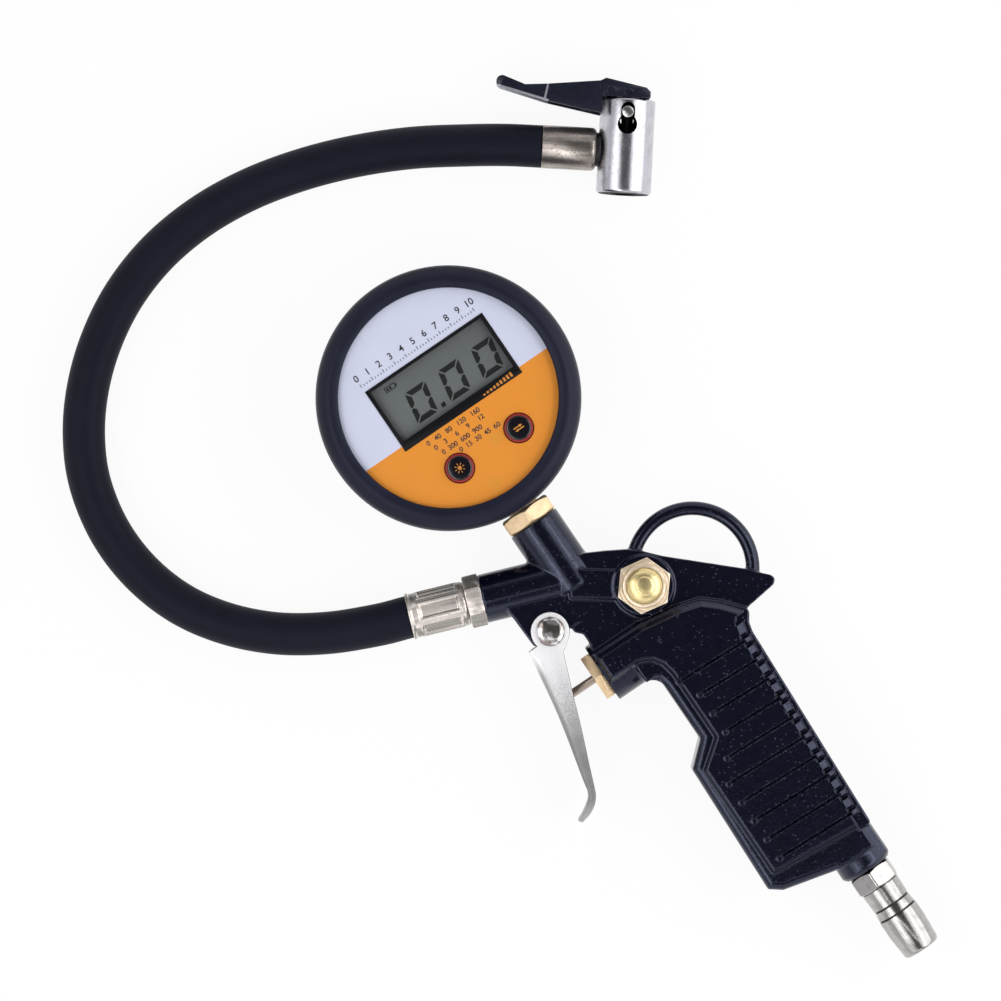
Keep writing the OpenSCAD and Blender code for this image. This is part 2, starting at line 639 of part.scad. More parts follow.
nipple_hex_h = 6.4;
nipple_face = nipple_thread_len;
nipple_end = nipple_face + nipple_len;
shoulder_from = nipple_face + 16;
shoulder_len = 5;
module nipple_turning() rotate_extrude() polygon([
    [0, 0], [thread_r, 0], [thread_r, nipple_face + nipple_hex_h],
    [nipple_r - 0.2, nipple_face + nipple_hex_h], [nipple_r - 0.5, shoulder_from - 3.6],
    [nipple_r - 0.8, shoulder_from - 3.2], [nipple_r - 0.15, shoulder_from - 0.6],
    [nipple_r - 0.35, shoulder_from - 0.3], [nipple_r, shoulder_from],
    [nipple_r, shoulder_from + shoulder_len], [nipple_r - 0.6, nipple_end - 0.8],
    [nipple_r - 1.1, nipple_end], [0, nipple_end]
]);

module inlet_nipple() in_row_frame() color(chrome)
    translate([inlet_x, -inlet_face_y + nipple_thread_len, z_mid]) rotate([90, 0, 0]) difference() {
        union() {
            nipple_turning();
            translate([0, 0, nipple_face]) rotate([0, 0, 14]) hex_bar(nipple_af, nipple_hex_h);
        }
        translate([0, 0, -cut]) cylinder(r = nipple_hole_r, h = nipple_end + 2 * cut);
        translate([0, 0, nipple_end - 1])
            cylinder(r1 = nipple_hole_r, r2 = nipple_hole_r + 1.1, h = 1 + cut);
    }

// ---- Gauge ----

case_r = boot_r - boot_wall - 0.1;
case_in_r = case_r - case_wall;
back_lip_t = 2.3;
back_z = back_lip_t + 0.1;
back_t = 2.2;
back_boss_r = 3.3;
back_screw_r = case_in_r - back_boss_r + 0.2;
label_t = 0.3;
lip_z = boot_t - 2.4;
label_z = lip_z - label_t - 0.1;
plate_t = 1.8;
plate_z = label_z - plate_t;
ledge_t = 1.6;
board_z = z_mid + 8;
board_t = 1.6;
board_top = board_z + board_t;
hex_top_y = -boot_r - 0.1;
stem_in_y = -case_in_r + 14;

module at_gauge() in_row_frame() translate([gauge_at.x, gauge_at.y, 0]) children();
function button_spot(side) = [button_mid_x + side * button_pitch / 2, -button_y];

module gauge_stem() at_gauge() color(brass) translate([0, 0, z_mid]) difference() {
    union() {
        translate([0, hex_top_y - stem_hex_h, 0]) along_y() rotate([0, 0, 90])
            hex_bar(stem_af, stem_hex_h);
        translate([0, hex_top_y - stem_hex_h - stem_thread_len, 0]) along_y()
            cylinder(r = thread_r, h = stem_thread_len + cut);
        translate([0, hex_top_y - cut, 0]) along_y() cylinder(r = stem_r, h = stem_in_y - hex_top_y + cut);
    }
    translate([0, hex_top_y - stem_hex_h - stem_thread_len - cut, 0]) along_y()
        cylinder(r = air_r, h = 60);
}

nut_y = -sqrt(case_in_r * case_in_r - 64);
module stem_nut() at_gauge() color(steel) translate([0, nut_y, z_mid]) along_y() difference() {
    hex_bar(14, 3, 0.4);
    translate([0, 0, -cut]) cylinder(r = stem_r + seat, h = 4);
}

sensor_r = min(5.6, board_z - z_mid - 0.6);
module pressure_sensor() at_gauge() color(steel) {
    translate([0, stem_in_y, z_mid]) along_y() cylinder(r = sensor_r, h = 5);
    for (x = [-3 : 2 : 3]) translate([x, stem_in_y + 3, z_mid])
        cylinder(r = 0.35, h = board_z - z_mid, $fn = 16);
}

module gauge_boot() at_gauge() color(rubber) difference() {
    rotate_extrude($fn = 96) polygon([
        [face_r + 0.3, 0], [boot_r - 3, 0], [boot_r - 1.4, 0.45], [boot_r - 0.4, 1.6], [boot_r, 3.2],
        [boot_r, boot_t - 6], [boot_r - 0.5, boot_t - 3.6], [boot_r - 1.7, boot_t - 1.5],
        [boot_r - 3.4, boot_t - 0.4], [boot_r - 5.2, boot_t], [face_r + 0.6, boot_t - 0.2],
        [face_r, boot_t - 0.8], [face_r, lip_z], [case_r + 0.1, lip_z], [case_r + 0.1, back_lip_t],
        [face_r + 0.3, back_lip_t]
    ]);
    translate([0, -boot_r - 1, z_mid]) along_y() cylinder(r = stem_r + soft, h = boot_wall + 6);
}

module back_screw_spots() for (a = [90, 210, 330])
    translate([back_screw_r * cos(a), back_screw_r * sin(a), 0]) children();

module gauge_case() at_gauge() color(black_plastic) difference() {
    union() {
        translate([0, 0, back_z + back_t]) tube(case_r, case_in_r, lip_z - back_z - back_t - 0.1);
        translate([0, 0, plate_z - ledge_t]) tube(case_in_r + 0.5, case_in_r - 1.6, ledge_t);
        translate([0, 0, back_z + back_t]) back_screw_spots() cylinder(r = back_boss_r, h = 9);
    }
    back_screw_spots() cylinder(r = 1.1 + seat, h = back_z + back_t + 7, $fn = 24);
    translate([0, -case_r - 1, z_mid]) along_y() cylinder(r = stem_r + seat, h = case_wall + 4);
}

// Battery bay: two cells side by side behind the circuit board, as large as the round case allows
cell_r = case_in_r * 0.153;
cell_len = case_in_r * 1.297;
bay_y = 2 * cell_r;
bay_gap = 0.3;
bay_wall = 1.2;
contact_t = 1;
cell_z = back_z + back_t + 0.6 + cell_r;
bay_half_x = cell_len / 2 + contact_t + bay_gap;
bay_half_y = 2 * cell_r + bay_gap * 1.5;
bay_top = cell_z + cell_r + bay_gap;
door_size = [2 * bay_half_x - 1, 2 * bay_half_y - 1];
door_tab_y = bay_y - bay_half_y - 3;
door_tab_r = 3.2;
door_t = 2;

module door_shape(grow) {
    translate([-door_size.x / 2 - grow, bay_y - door_size.y / 2 - grow])
        square([door_size.x + 2 * grow, door_size.y + 2 * grow]);
    translate([0, door_tab_y]) circle(r = door_tab_r + grow);
    translate([-door_tab_r - grow, door_tab_y]) square([2 * (door_tab_r + grow), 5]);
}

module case_back() at_gauge() color(black_plastic) difference() {
    translate([0, 0, back_z]) cylinder(r = case_r, h = back_t);
    translate([0, 0, back_z - cut]) linear_extrude(back_t + 2 * cut) door_shape(0.2);
    back_screw_spots() {
        cylinder(r = 1.1 + seat, h = boot_t, $fn = 24);
        cylinder(r = 2.2 + seat, h = back_z + 1.2, $fn = 24);
    }
}

module case_screws() at_gauge() color(steel) back_screw_spots() {
    translate([0, 0, back_z]) difference() {
        cylinder(r = 2.2, h = 1.2, $fn = 24);
        translate([0, 0, -cut]) for (turn = [0, 90]) rotate([0, 0, turn])
            translate([-1.2, -0.25, 0]) cube([2.4, 0.5, 0.6]);
    }
    translate([0, 0, back_z + 1.1]) cylinder(r = 1.1, h = back_t + 5, $fn = 24);
}

module battery_door() at_gauge() color(black_plastic) difference() {
    translate([0, 0, back_z]) linear_extrude(door_t) door_shape(0);
    translate([0, door_tab_y, 0]) cylinder(r = 1.1 + seat, h = boot_t, $fn = 24);
    translate([0, door_tab_y, 0]) cylinder(r = 2 + seat, h = back_z + 1, $fn = 24);
    for (i = [-2 : 2]) translate([i * 3 - 0.5, bay_y - 4, 0]) cube([1, 8, back_z + 0.5]);
}

module battery_door_screw() at_gauge() color(steel) translate([0, door_tab_y, back_z]) {
    difference() {
        cylinder(r = 2, h = 1, $fn = 24);
        translate([-1.2, -0.25, -cut]) cube([2.4, 0.5, 0.6]);
    }
    translate([0, 0, 0.9]) cylinder(r = 1.1, h = 6, $fn = 24);
}

module battery_tray() at_gauge() color(black_plastic) {
    z0 = back_z + back_t;
    difference() {
        union() {
            translate([-bay_half_x - bay_wall, bay_y - bay_half_y - bay_wall, z0])
                cube([2 * (bay_half_x + bay_wall), 2 * (bay_half_y + bay_wall), bay_top - z0 + bay_wall]);
            translate([0, door_tab_y, z0]) cylinder(r = 2.6, h = 7);
        }
        translate([-bay_half_x, bay_y - bay_half_y, z0 - cut])
            cube([2 * bay_half_x, 2 * bay_half_y, bay_top - z0 + cut]);
        translate([0, door_tab_y, z0 - cut]) cylinder(r = 1.1 + seat, h = 6, $fn = 24);
    }
}

module battery_contacts() at_gauge() color(nickel) {
    z0 = cell_z - 4;
    translate([-bay_half_x + 0.1, bay_y - cell_r - 3, z0]) cube([contact_t, 2 * cell_r + 6, 8]);
    for (side = [-1, 1]) translate([bay_half_x - contact_t - 0.1, bay_y + side * (cell_r + 0.15) - 3, z0])
        cube([contact_t, 6, 8]);
}

module battery_cells() at_gauge() color(nickel) for (side = [-1, 1])
    translate([-cell_len / 2, bay_y + side * (cell_r + bay_gap / 2), cell_z]) along_x() {
        cylinder(r = cell_r, h = cell_len - 1);
        translate([0, 0, cell_len - 1 - cut]) cylinder(r = 1.9, h = 1 + cut);
    }

board_r = case_in_r - 3.2;
post_r = 2.2;
post_at_r = case_in_r - 6;
function post_spots() = [for (a = [90, 195, 345]) post_at_r * [cos(a), sin(a)]];

chip_w = 8;
module circuit_board() at_gauge() color([0.1, 0.35, 0.2]) difference() {
    union() {
        translate([0, 0, board_z]) cylinder(r = board_r, h = board_t);
        translate([-chip_w / 2, -board_r / 2, board_top - cut]) cube([chip_w, chip_w, 1.2 + cut]);
        for (x = [-board_r / 2, board_r / 2 - 4])
            translate([x, -board_r / 2, board_top - cut]) cube([4, 2.4, 1 + cut]);
        translate([chip_w, 3.5 - board_r, board_top - cut]) cylinder(r = 1.6, h = 3 + cut, $fn = 24);
    }
    for (spot = post_spots()) translate([spot.x, spot.y, 0]) cylinder(r = 1.1, h = boot_t, $fn = 24);
}

module board_screws() at_gauge() color(steel) for (spot = post_spots())
    translate([spot.x, spot.y, board_z]) {
        translate([0, 0, -1.2]) cylinder(r = 1.9, h = 1.2, $fn = 24);
        translate([0, 0, -cut]) cylinder(r = 1, h = board_t + 4, $fn = 24);
    }

switch_h = 3.4;
switch_top = board_top + switch_h + 0.8;
module tact_switches() at_gauge() color(black_plastic) for (side = [-1, 1]) {
    spot = button_spot(side);
    translate([spot.x - 3, spot.y - 3, board_top]) cube([6, 6, switch_h]);
    translate([spot.x, spot.y, board_top + switch_h - cut]) cylinder(r = 1.7, h = 0.8 + cut);
}

window_size = bezel_size - [2 * bezel_side, bezel_top + bezel_band];
window_at = [bezel_at.x, bezel_at.y + (bezel_band - bezel_top) / 2];
display_size = window_size + [1, 1.2];
display_t = 2.6;
display_z = plate_z - 0.1 - display_t;

module display_block(size, z, h) translate([window_at.x - size.x / 2, window_at.y - size.y / 2, z])
    cube([size.x, size.y, h]);

module backlight() at_gauge() color("white") display_block(display_size, board_top, display_z - board_top);

module lcd_module() at_gauge() color([0.45, 0.5, 0.45]) display_block(display_size, display_z, display_t);

module lcd_window() at_gauge() color([0.8, 0.85, 0.85, 0.4])
    display_block(window_size - 2 * [seat, seat], plate_z + 0.1, 1.3);

bezel_proud = 0.25;
module bezel_block(grow, z, h)
    translate([bezel_at.x - bezel_size.x / 2 - grow, bezel_at.y - bezel_size.y / 2 - grow, z])
        cube([bezel_size.x + 2 * grow, bezel_size.y + 2 * grow, h]);

module lcd_bezel() at_gauge() color(black_plastic) difference() {
    bezel_block(0, plate_z, plate_t + label_t + bezel_proud);
    display_block(window_size, plate_z - cut, boot_t);
}

module face_openings() {
    bezel_block(seat, 0, 2 * boot_t);
    for (side = [-1, 1]) translate([button_spot(side).x, button_spot(side).y, 0])
        cylinder(r = button_r + soft, h = 2 * boot_t);
}

module face_plate() at_gauge() color("white") difference() {
    union() {
        translate([0, 0, plate_z]) cylinder(r = case_in_r - 0.1, h = plate_t, $fn = 96);
        for (spot = post_spots()) translate([spot.x, spot.y, board_top])
            cylinder(r = post_r, h = plate_z - board_top + cut);
    }
    face_openings();
    for (spot = post_spots()) translate([spot.x, spot.y, 0])
        cylinder(r = 1 + seat, h = board_top + 4, $fn = 24);
}

module face_label() at_gauge() color([0.95, 0.6, 0.15]) difference() {
    translate([0, 0, label_z]) cylinder(r = case_in_r - 0.2, h = label_t, $fn = 96);
    face_openings();
}

flange_t = 1.1;
module gauge_button(side) at_gauge() color(black_plastic)
    translate([button_spot(side).x, button_spot(side).y, 0]) {
        flange_z = plate_z - 0.1 - flange_t;
        rise = label_z + label_t - flange_z;
        stem_z = switch_top + button_travel + 0.1;
        translate([0, 0, flange_z]) rotate_extrude() polygon([
            [0, 0], [button_r + 1, 0], [button_r + 1, flange_t], [button_r, flange_t],
            [button_r, rise + 0.7], [button_r - 0.5, rise + 1.2], [button_r - 1.6, rise + 1.6],
            [button_r - 3, rise + 1.8], [0, rise + 1.85]
        ]);
        translate([0, 0, stem_z]) cylinder(r = 1.8, h = flange_z - stem_z + cut);
    }
module light_button() gauge_button(-1);
module unit_button() gauge_button(1);

// ---- Hose ----

ferrule_end_t = 1.5;
tail_r = hose_bore_d / 2;
sleeve_r = hose_d / 2 - 0.6;
air_r = 1.6;
gun_mouth = outlet_len + hose_nut_len + gun_ferrule_len;
outlet_way = [-cos(outlet_tilt), sin(outlet_tilt), 0];
chuck_way = [cos(chuck_turn), -sin(chuck_turn), 0];
chuck_at = [70.3, 112.6, chuck_r];
neck_x = -chuck_r - 0.6;
chuck_mouth_x = neck_x - chuck_ferrule_len;

// Points along the middle of the hose, between its two ferrules
hose_points = [
    [-74, 35.6, 11.6], [-88, 42.2, 10], [-101, 50.9, 8.2], [-112, 62, 7], [-120.2, 75, 6.5],
    [-124.8, 90, 6.5], [-125.5, 105.5, 6.5], [-122.2, 121, 6.5], [-115.6, 134, 6.5],
    [-106.4, 145.3, 6.5], [-94.8, 155, 6.5], [-81, 162.7, 6.5], [-65.2, 167.6, 6.5],
    [-48.5, 169.2, 6.5], [-31.8, 167.8, 6.5], [-15, 163.8, 6.5], [1.2, 157.9, 6.5],
    [17, 150.2, 6.7], [32, 140.9, 7.3], [41.6, 134.4, 7.9]
];
hose_start = [-gauge_x, junction_y, z_mid] + gun_mouth * outlet_way;
hose_end = chuck_at + chuck_mouth_x * chuck_way;

module at_chuck() in_row_frame() translate(chuck_at) rotate([0, 0, -chuck_turn]) children();
module from_gun_mouth() in_row_frame() along_outlet() translate([0, 0, gun_mouth]) children();
module from_chuck_mouth() at_chuck() translate([chuck_mouth_x, 0, 0]) along_x() children();

module hose() color(rubber) {
    in_row_frame() bar_through(concat([hose_start], hose_points, [hose_end]), hose_d / 2, 12, [0, 0, 1],
        outlet_way, chuck_way);
    from_gun_mouth() translate([0, 0, ferrule_end_t - gun_ferrule_len])
        tube(sleeve_r, tail_r + seat, gun_ferrule_len - ferrule_end_t);
    from_chuck_mouth() tube(sleeve_r, tail_r + seat, chuck_ferrule_len - ferrule_end_t);
}

module hose_tail_gun() from_gun_mouth() color(nickel) difference() {
    union() {
        translate([0, 0, -gun_ferrule_len]) cylinder(r = tail_r, h = gun_ferrule_len);
        translate([0, 0, -gun_ferrule_len - hose_nut_len]) rotate([0, 0, 30])
            hex_bar(hose_nut_af, hose_nut_len);
        translate([0, 0, -gun_ferrule_len - hose_nut_len - tail_thread_len])
            cylinder(r = thread_r, h = tail_thread_len + cut);
    }
    translate([0, 0, -gun_ferrule_len - hose_nut_len - tail_thread_len - cut]) cylinder(r = air_r, h = 60);
}

// Sleeve from its open mouth at z = 0 down to its end wall at z = h
module ferrule_sleeve(r, h, shoulder) difference() {
    rotate_extrude() polygon([
        [0, 0], [r, 0], [r, h - shoulder], [r - shoulder * 0.3, h - shoulder * 0.3],
        [r - shoulder, h], [0, h]
    ]);
    translate([0, 0, -cut]) cylinder(r = sleeve_r + seat, h = h - ferrule_end_t + cut);
    cylinder(r = tail_r + seat, h = h + cut);
}

crimp_count = 6;
crimp_len = 12;
crimp_w = 4.6;
crimp_depth = 0.45;
ferrule_gun_r = hose_d / 2 + 0.3;
module ferrule_gun() from_gun_mouth() color(nickel) mirror([0, 0, 1]) difference() {
    union() {
        ferrule_sleeve(ferrule_gun_r, gun_ferrule_len, 0.6);
        tube(ferrule_gun_r + 0.35, sleeve_r + 0.2, 1);
    }
    for (i = [0 : crimp_count - 1]) rotate([0, 0, i * 360 / crimp_count + 8])
        translate([ferrule_gun_r - crimp_depth, -crimp_w / 2, 3.6]) cube([2, crimp_w, crimp_len]);
}

ferrule_chuck_r = hose_d / 2 + 0.1;
module ferrule_chuck() from_chuck_mouth() color(nickel)
    ferrule_sleeve(ferrule_chuck_r, chuck_ferrule_len, 1.5);

neck_r = 5.2;
stub_r = 4;
spot_x = -chuck_r + 0.8;
stub_end_x = -chuck_bore_r - 0.3;
module hose_tail_chuck() at_chuck() color(black_plastic) difference() {
    union() {
        translate([chuck_mouth_x, 0, 0]) along_x() cylinder(r = tail_r, h = chuck_ferrule_len + cut);
        translate([neck_x, 0, 0]) along_x() cylinder(r = neck_r, h = spot_x - neck_x);
        translate([spot_x - cut, 0, 0]) along_x() cylinder(r = stub_r, h = stub_end_x - spot_x + cut);
    }
    translate([chuck_mouth_x - cut, 0, 0]) along_x() cylinder(r = air_r, h = 60);
}

// ---- Chuck; y runs along its axis, away from the mouth ----

mouth_len = 2;
bore_top = chuck_top - 1.5;
mouth_y = -chuck_bottom;
bore_y = mouth_y + mouth_len;
lever_pivot = [-5.4, chuck_top + 2.1];
lever_pin_r = 1;
ear_r = 1.9;
ear_half_w = 3.6;
link_y = chuck_top + 1.8;
link_pin_r = 0.7;
// Highest place of the cross pin below the end of the bore, at full lift
cross_pin_room = 1.65;
cross_y = bore_top - plunger_lift - cross_pin_room;
crosshead_r = 3.4;
hole_y = 7.7;
hole_r = 3;
slot_r = cross_head_r + 0.3;
slot_y = bore_top + 0.3 - slot_r;
foot_y = -1;
foot_t = 1.6;
skirt_y = -8;
bush_y = 2.6;
// Inside of the foot's skirt and of the collet, wider than the mouth
skirt_in_r = mouth_r + 0.3;
bush_t = 2;

module up_chuck(y) translate([0, y, 0]) along_y() children();

module chuck_body() at_chuck() color(chrome) difference() {
    union() {
        up_chuck(mouth_y) cylinder(r1 = chuck_r - 0.9, r2 = chuck_r, h = 0.9);
        up_chuck(mouth_y + 0.9) cylinder(r = chuck_r, h = chuck_top - mouth_y - 1.3);
        up_chuck(chuck_top - 0.4) cylinder(r1 = chuck_r, r2 = chuck_r - 0.4, h = 0.4);
        translate([lever_pivot.x - ear_r, bore_top, -ear_half_w])
            cube([2 * ear_r, lever_pivot.y - bore_top, 2 * ear_half_w]);
        translate([lever_pivot.x, lever_pivot.y, -ear_half_w]) cylinder(r = ear_r, h = 2 * ear_half_w);
    }
    up_chuck(mouth_y - cut) cylinder(r = mouth_r, h = mouth_len + 2 * cut);
    up_chuck(bore_y) cylinder(r = chuck_bore_r, h = bore_top - bore_y);
    up_chuck(bore_top - cut) cylinder(r = rod_r + run, h = 5);
    translate([0, hole_y, -chuck_r - 1]) cylinder(r = hole_r, h = 2 * chuck_r + 2);
    translate([0, slot_y, -chuck_r - 1]) cylinder(r = slot_r, h = 2 * chuck_r + 2);
    translate([-slot_r, hole_y, -chuck_r - 1]) cube([2 * slot_r, slot_y - hole_y, 2 * chuck_r + 2]);
    translate([-chuck_r - 2, 0, 0]) along_x() {
        cylinder(r = neck_r + cut, h = spot_x + chuck_r + 2);
        cylinder(r = stub_r + seat, h = stub_end_x + chuck_r + 2);
        cylinder(r = air_r, h = chuck_r);
    }
    translate([lever_pivot.x, lever_pivot.y, -chuck_r]) cylinder(r = lever_pin_r + seat, h = 2 * chuck_r);
}

lever_top = [
    [6.6, 2.2], [5.3, 3.4], [-7.1, 5.8], [-8.8, 4.9], [-24.7, 3.2], [-31.7, 2.7], [-38.3, 5.1]
];
lever_bottom = [[-39.3, 1.6], [-25, -2], [-8, -4.9], [-7.9, 0.3], [6.6, 0.3]];
lever_tip = [-38.75, 3.35];
lever_tip_r = 1.8;

module lever_side() translate([0, chuck_top]) {
    polygon(concat(lever_bottom, lever_top));
    translate(lever_tip) circle(r = lever_tip_r);
}

module lever_plan(w_root, w_tip) rotate([-90, 0, 0]) linear_extrude(60) polygon([
    [10, -w_root / 2], [10, w_root / 2], [-8, w_root / 2],
    [-41, w_tip / 2], [-41, -w_tip / 2], [-8, -w_root / 2]
]);

module chuck_lever() at_chuck() color(paint) difference() {
    intersection() {
        translate([0, 0, -lever_w / 2]) linear_extrude(lever_w) lever_side();
        lever_plan(lever_w, lever_tip_w);
    }
    intersection() {
        translate([0, -lever_sheet * 1.03, -lever_w / 2]) linear_extrude(lever_w) {
            translate([0, chuck_top])
                polygon(concat([for (p = lever_bottom) p - [0, 3]], lever_top));
        }
        lever_plan(lever_w - 2 * lever_sheet, lever_tip_w - 2 * lever_sheet);
        translate([lever_tip.x + 1, 0, -lever_w / 2]) cube([60, 60, lever_w]);
    }
    translate([lever_pivot.x, lever_pivot.y, -lever_w]) cylinder(r = lever_pin_r + run, h = 2 * lever_w);
    translate([0, link_y, -lever_w]) cylinder(r = link_pin_r + 0.2, h = 2 * lever_w);
}

module lever_pin() at_chuck() color(steel) translate([lever_pivot.x, lever_pivot.y, -lever_w / 2 + 0.1])
    cylinder(r = lever_pin_r, h = lever_w - 0.2);

module plunger_rod() at_chuck() color(steel) difference() {
    union() {
        up_chuck(foot_y - foot_t) cylinder(r = rod_r, h = link_y + 0.7 - foot_y + foot_t);
        up_chuck(cross_y - 1.8) cylinder(r = crosshead_r, h = 3.2);
    }
    translate([0, cross_y, -chuck_r]) cylinder(r = cross_pin_r + seat, h = 2 * chuck_r);
    translate([0, link_y, -chuck_r]) cylinder(r = link_pin_r + seat, h = 2 * chuck_r);
}

cross_half_w = chuck_r - 0.9;
module cross_pin() at_chuck() color(chrome) translate([0, cross_y, -cross_half_w]) {
    head_h = cross_half_w - crosshead_r - soft;
    cylinder(r = cross_pin_r, h = 2 * cross_half_w);
    cylinder(r = cross_head_r, h = head_h);
    translate([0, 0, 2 * cross_half_w - head_h]) cylinder(r = cross_head_r, h = head_h);
}

module link_pin() at_chuck() color(steel) translate([0, link_y, -lever_w / 2 + 0.3])
    cylinder(r = link_pin_r, h = lever_w - 0.6);

module plunger_foot() at_chuck() color(brass) difference() {
    union() {
        up_chuck(foot_y - foot_t) cylinder(r = chuck_bore_r - run, h = foot_t);
        up_chuck(skirt_y) tube(chuck_bore_r - run, skirt_in_r, foot_y - foot_t - skirt_y + cut);
    }
    up_chuck(foot_y - foot_t - cut) cylinder(r = rod_r + seat, h = foot_t + 2 * cut);
    for (turn = [0, 120, 240]) up_chuck(foot_y - foot_t - cut) rotate([0, 0, turn])
        translate([3.3, 0, 0]) cylinder(r = 0.7, h = foot_t + 2 * cut, $fn = 20);
}

depressor_r = 0.9;
module valve_depressor() at_chuck() color(brass) up_chuck(foot_y - foot_t - 4.4)
    cylinder(r = depressor_r, h = 4.4);

module chuck_seal() at_chuck() color(seal_black) up_chuck(foot_y - foot_t - 3.4)
    tube(skirt_in_r - seat, depressor_r + 0.6, 3.2);

collet_h = 3;
module chuck_collet() at_chuck() color(brass) difference() {
    up_chuck(bore_y + seat) tube(chuck_bore_r - seat, skirt_in_r, collet_h);
    for (turn = [30, 90, 150]) up_chuck(bore_y + 1) rotate([0, 0, turn])
        translate([-chuck_r, -0.4, 0]) cube([2 * chuck_r, 0.8, collet_h]);
}

module guide_bush() at_chuck() color(brass) difference() {
    up_chuck(bush_y) cylinder(r = chuck_bore_r - seat, h = bush_t);
    up_chuck(bush_y - cut) cylinder(r = rod_r + run, h = bush_t + 2 * cut);
    up_chuck(bush_y + bush_t / 2 - 0.45) cylinder(r = rod_r + run + 0.8, h = 0.9);
}

module rod_o_ring() at_chuck() color(seal_black) up_chuck(bush_y + bush_t / 2)
    round_ring(rod_r + run + 0.4, 0.4);

module chuck_spring() at_chuck() color(steel) up_chuck(foot_y + run)
    coil(4, 0.28, bush_y - foot_y - 2 * run, 1);

gun_body();
valve_cartridge();
cartridge_o_ring();
pin_o_ring();
valve_pin();
poppet();
poppet_seal();
valve_spring();
trigger_lever();
trigger_pin();
bleed_body();
bleed_gasket();
bleed_button();
bleed_seal();
bleed_spring();
inlet_nipple();
gauge_stem();
stem_nut();
pressure_sensor();
gauge_boot();
gauge_case();
case_back();
case_screws();
battery_door();
battery_door_screw();
battery_tray();
battery_contacts();
battery_cells();
circuit_board();
board_screws();
tact_switches();
backlight();
lcd_module();
lcd_bezel();
lcd_window();
face_plate();
face_label();
light_button();
unit_button();
hose();
hose_tail_gun();
ferrule_gun();
hose_tail_chuck();
ferrule_chuck();
chuck_body();
chuck_lever();
lever_pin();
plunger_rod();
cross_pin();
link_pin();
plunger_foot();
valve_depressor();
chuck_seal();
chuck_collet();
guide_bush();
rod_o_ring();
chuck_spring();
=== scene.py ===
"""Looks of an air-line tyre inflator, built around its packed CAD model."""

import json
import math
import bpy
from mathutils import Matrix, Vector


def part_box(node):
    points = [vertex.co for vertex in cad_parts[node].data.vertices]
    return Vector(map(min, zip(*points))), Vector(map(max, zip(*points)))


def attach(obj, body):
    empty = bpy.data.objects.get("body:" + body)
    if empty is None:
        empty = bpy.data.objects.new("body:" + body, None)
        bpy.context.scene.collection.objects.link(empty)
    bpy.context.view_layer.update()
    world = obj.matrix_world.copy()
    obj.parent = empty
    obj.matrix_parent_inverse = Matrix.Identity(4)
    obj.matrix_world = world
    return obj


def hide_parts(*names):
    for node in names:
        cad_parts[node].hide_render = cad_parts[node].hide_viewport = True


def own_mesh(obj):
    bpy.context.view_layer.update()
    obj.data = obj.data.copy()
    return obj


bl_info = {
    "name": "Tyre inflator looks",
    "version": (1, 0, 0),
    "blender": (4, 5, 0),
    "location": "3D View > Sidebar > Inflator",
    "description": "Builds the visible pieces, finishes and studio of a tyre inflator with a digital gauge",
    "category": "Object",
}

import bmesh
import bpy
import numpy as np
from bpy.props import FloatProperty, FloatVectorProperty, IntProperty, PointerProperty, StringProperty
from mathutils import Matrix, Vector

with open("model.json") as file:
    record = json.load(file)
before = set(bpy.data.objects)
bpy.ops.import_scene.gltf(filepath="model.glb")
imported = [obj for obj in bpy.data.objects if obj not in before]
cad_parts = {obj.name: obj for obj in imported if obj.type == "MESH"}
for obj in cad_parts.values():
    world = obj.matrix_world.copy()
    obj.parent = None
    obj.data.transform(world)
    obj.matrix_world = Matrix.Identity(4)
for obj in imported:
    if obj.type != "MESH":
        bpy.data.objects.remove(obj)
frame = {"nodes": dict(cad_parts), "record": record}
NODES = frame["nodes"]
BEHAVIOUR = frame["record"]["behaviour"]
BODY_OF = {node: body for body, nodes in BEHAVIOUR["bodies"].items() for node in nodes}
STANDS_FOR = {}
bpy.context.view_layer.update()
MM = 0.001
UP = Vector((0, 0, 1))

# Places are in millimetres of the source, which measures from the bleed valve's axis.
# The row frame, which the CAD nodes are in, lies this far from it.
BLEED_AXIS = Vector((10.675, 9.55, 0))

# The gun: Z_MID is the height of its middle, RIM and PANEL are half thicknesses of the grip
Z_MID = 12
RIM = 9.9
PANEL = 12
JUNCTION = Vector((-17, 14.4, Z_MID))
OUTLET_TILT = math.radians(20.5)
OUTLET_WAY = Vector((-math.cos(OUTLET_TILT), math.sin(OUTLET_TILT), 0))
GUN_MOUTH = JUNCTION + 50.5 * OUTLET_WAY
INLET = Vector((8.1, -100, Z_MID))
# The rims of the grip's panel, each walked with the panel on its left
GRIP_FRONT = [
    (-16, -24.8), (-14.8, -25), (-12.6, -26.4), (-12, -28.8), (-12, -48), (-19.3, -54.5), (-20.7, -97.5),
    (-17, -100.3), (0, -104.5),
]
GRIP_REAR = [(16.6, -97.8), (19.5, -30), (20.2, -27.2), (22, -24.6)]
GROOVE_FIRST = -30
GROOVE_PITCH = 6.8
GROOVE_COUNT = 10
GROOVE_TURN = math.radians(-2.5)
GROOVE_WAY = np.array((math.cos(GROOVE_TURN), math.sin(GROOVE_TURN)))
# The facets behind the panels: how much they fall for each millimetre, and where one begins and how wide it is,
# both measured from the rear rim, first between two grooves and then at the end of one
FACET_FALL = 0.48
FACET_STARTS = (1.95, 1.6)
FACET_WIDTHS = (2.15, 1.7)
# The nipple's two fine grooves, as distances from the inlet
NIPPLE_GROOVES = (22.6, 25.8)

# The trigger: a sheet folded round a hollow, with an ear round its pivot on each side
TRIGGER_PIVOT = (-31.3, 4.4)
TRIGGER_EAR = 5.9
TRIGGER_HALF = 7.7
TRIGGER_RIVET = 4.5
SHEET = 1.2
BLADE_TOP = 2.8
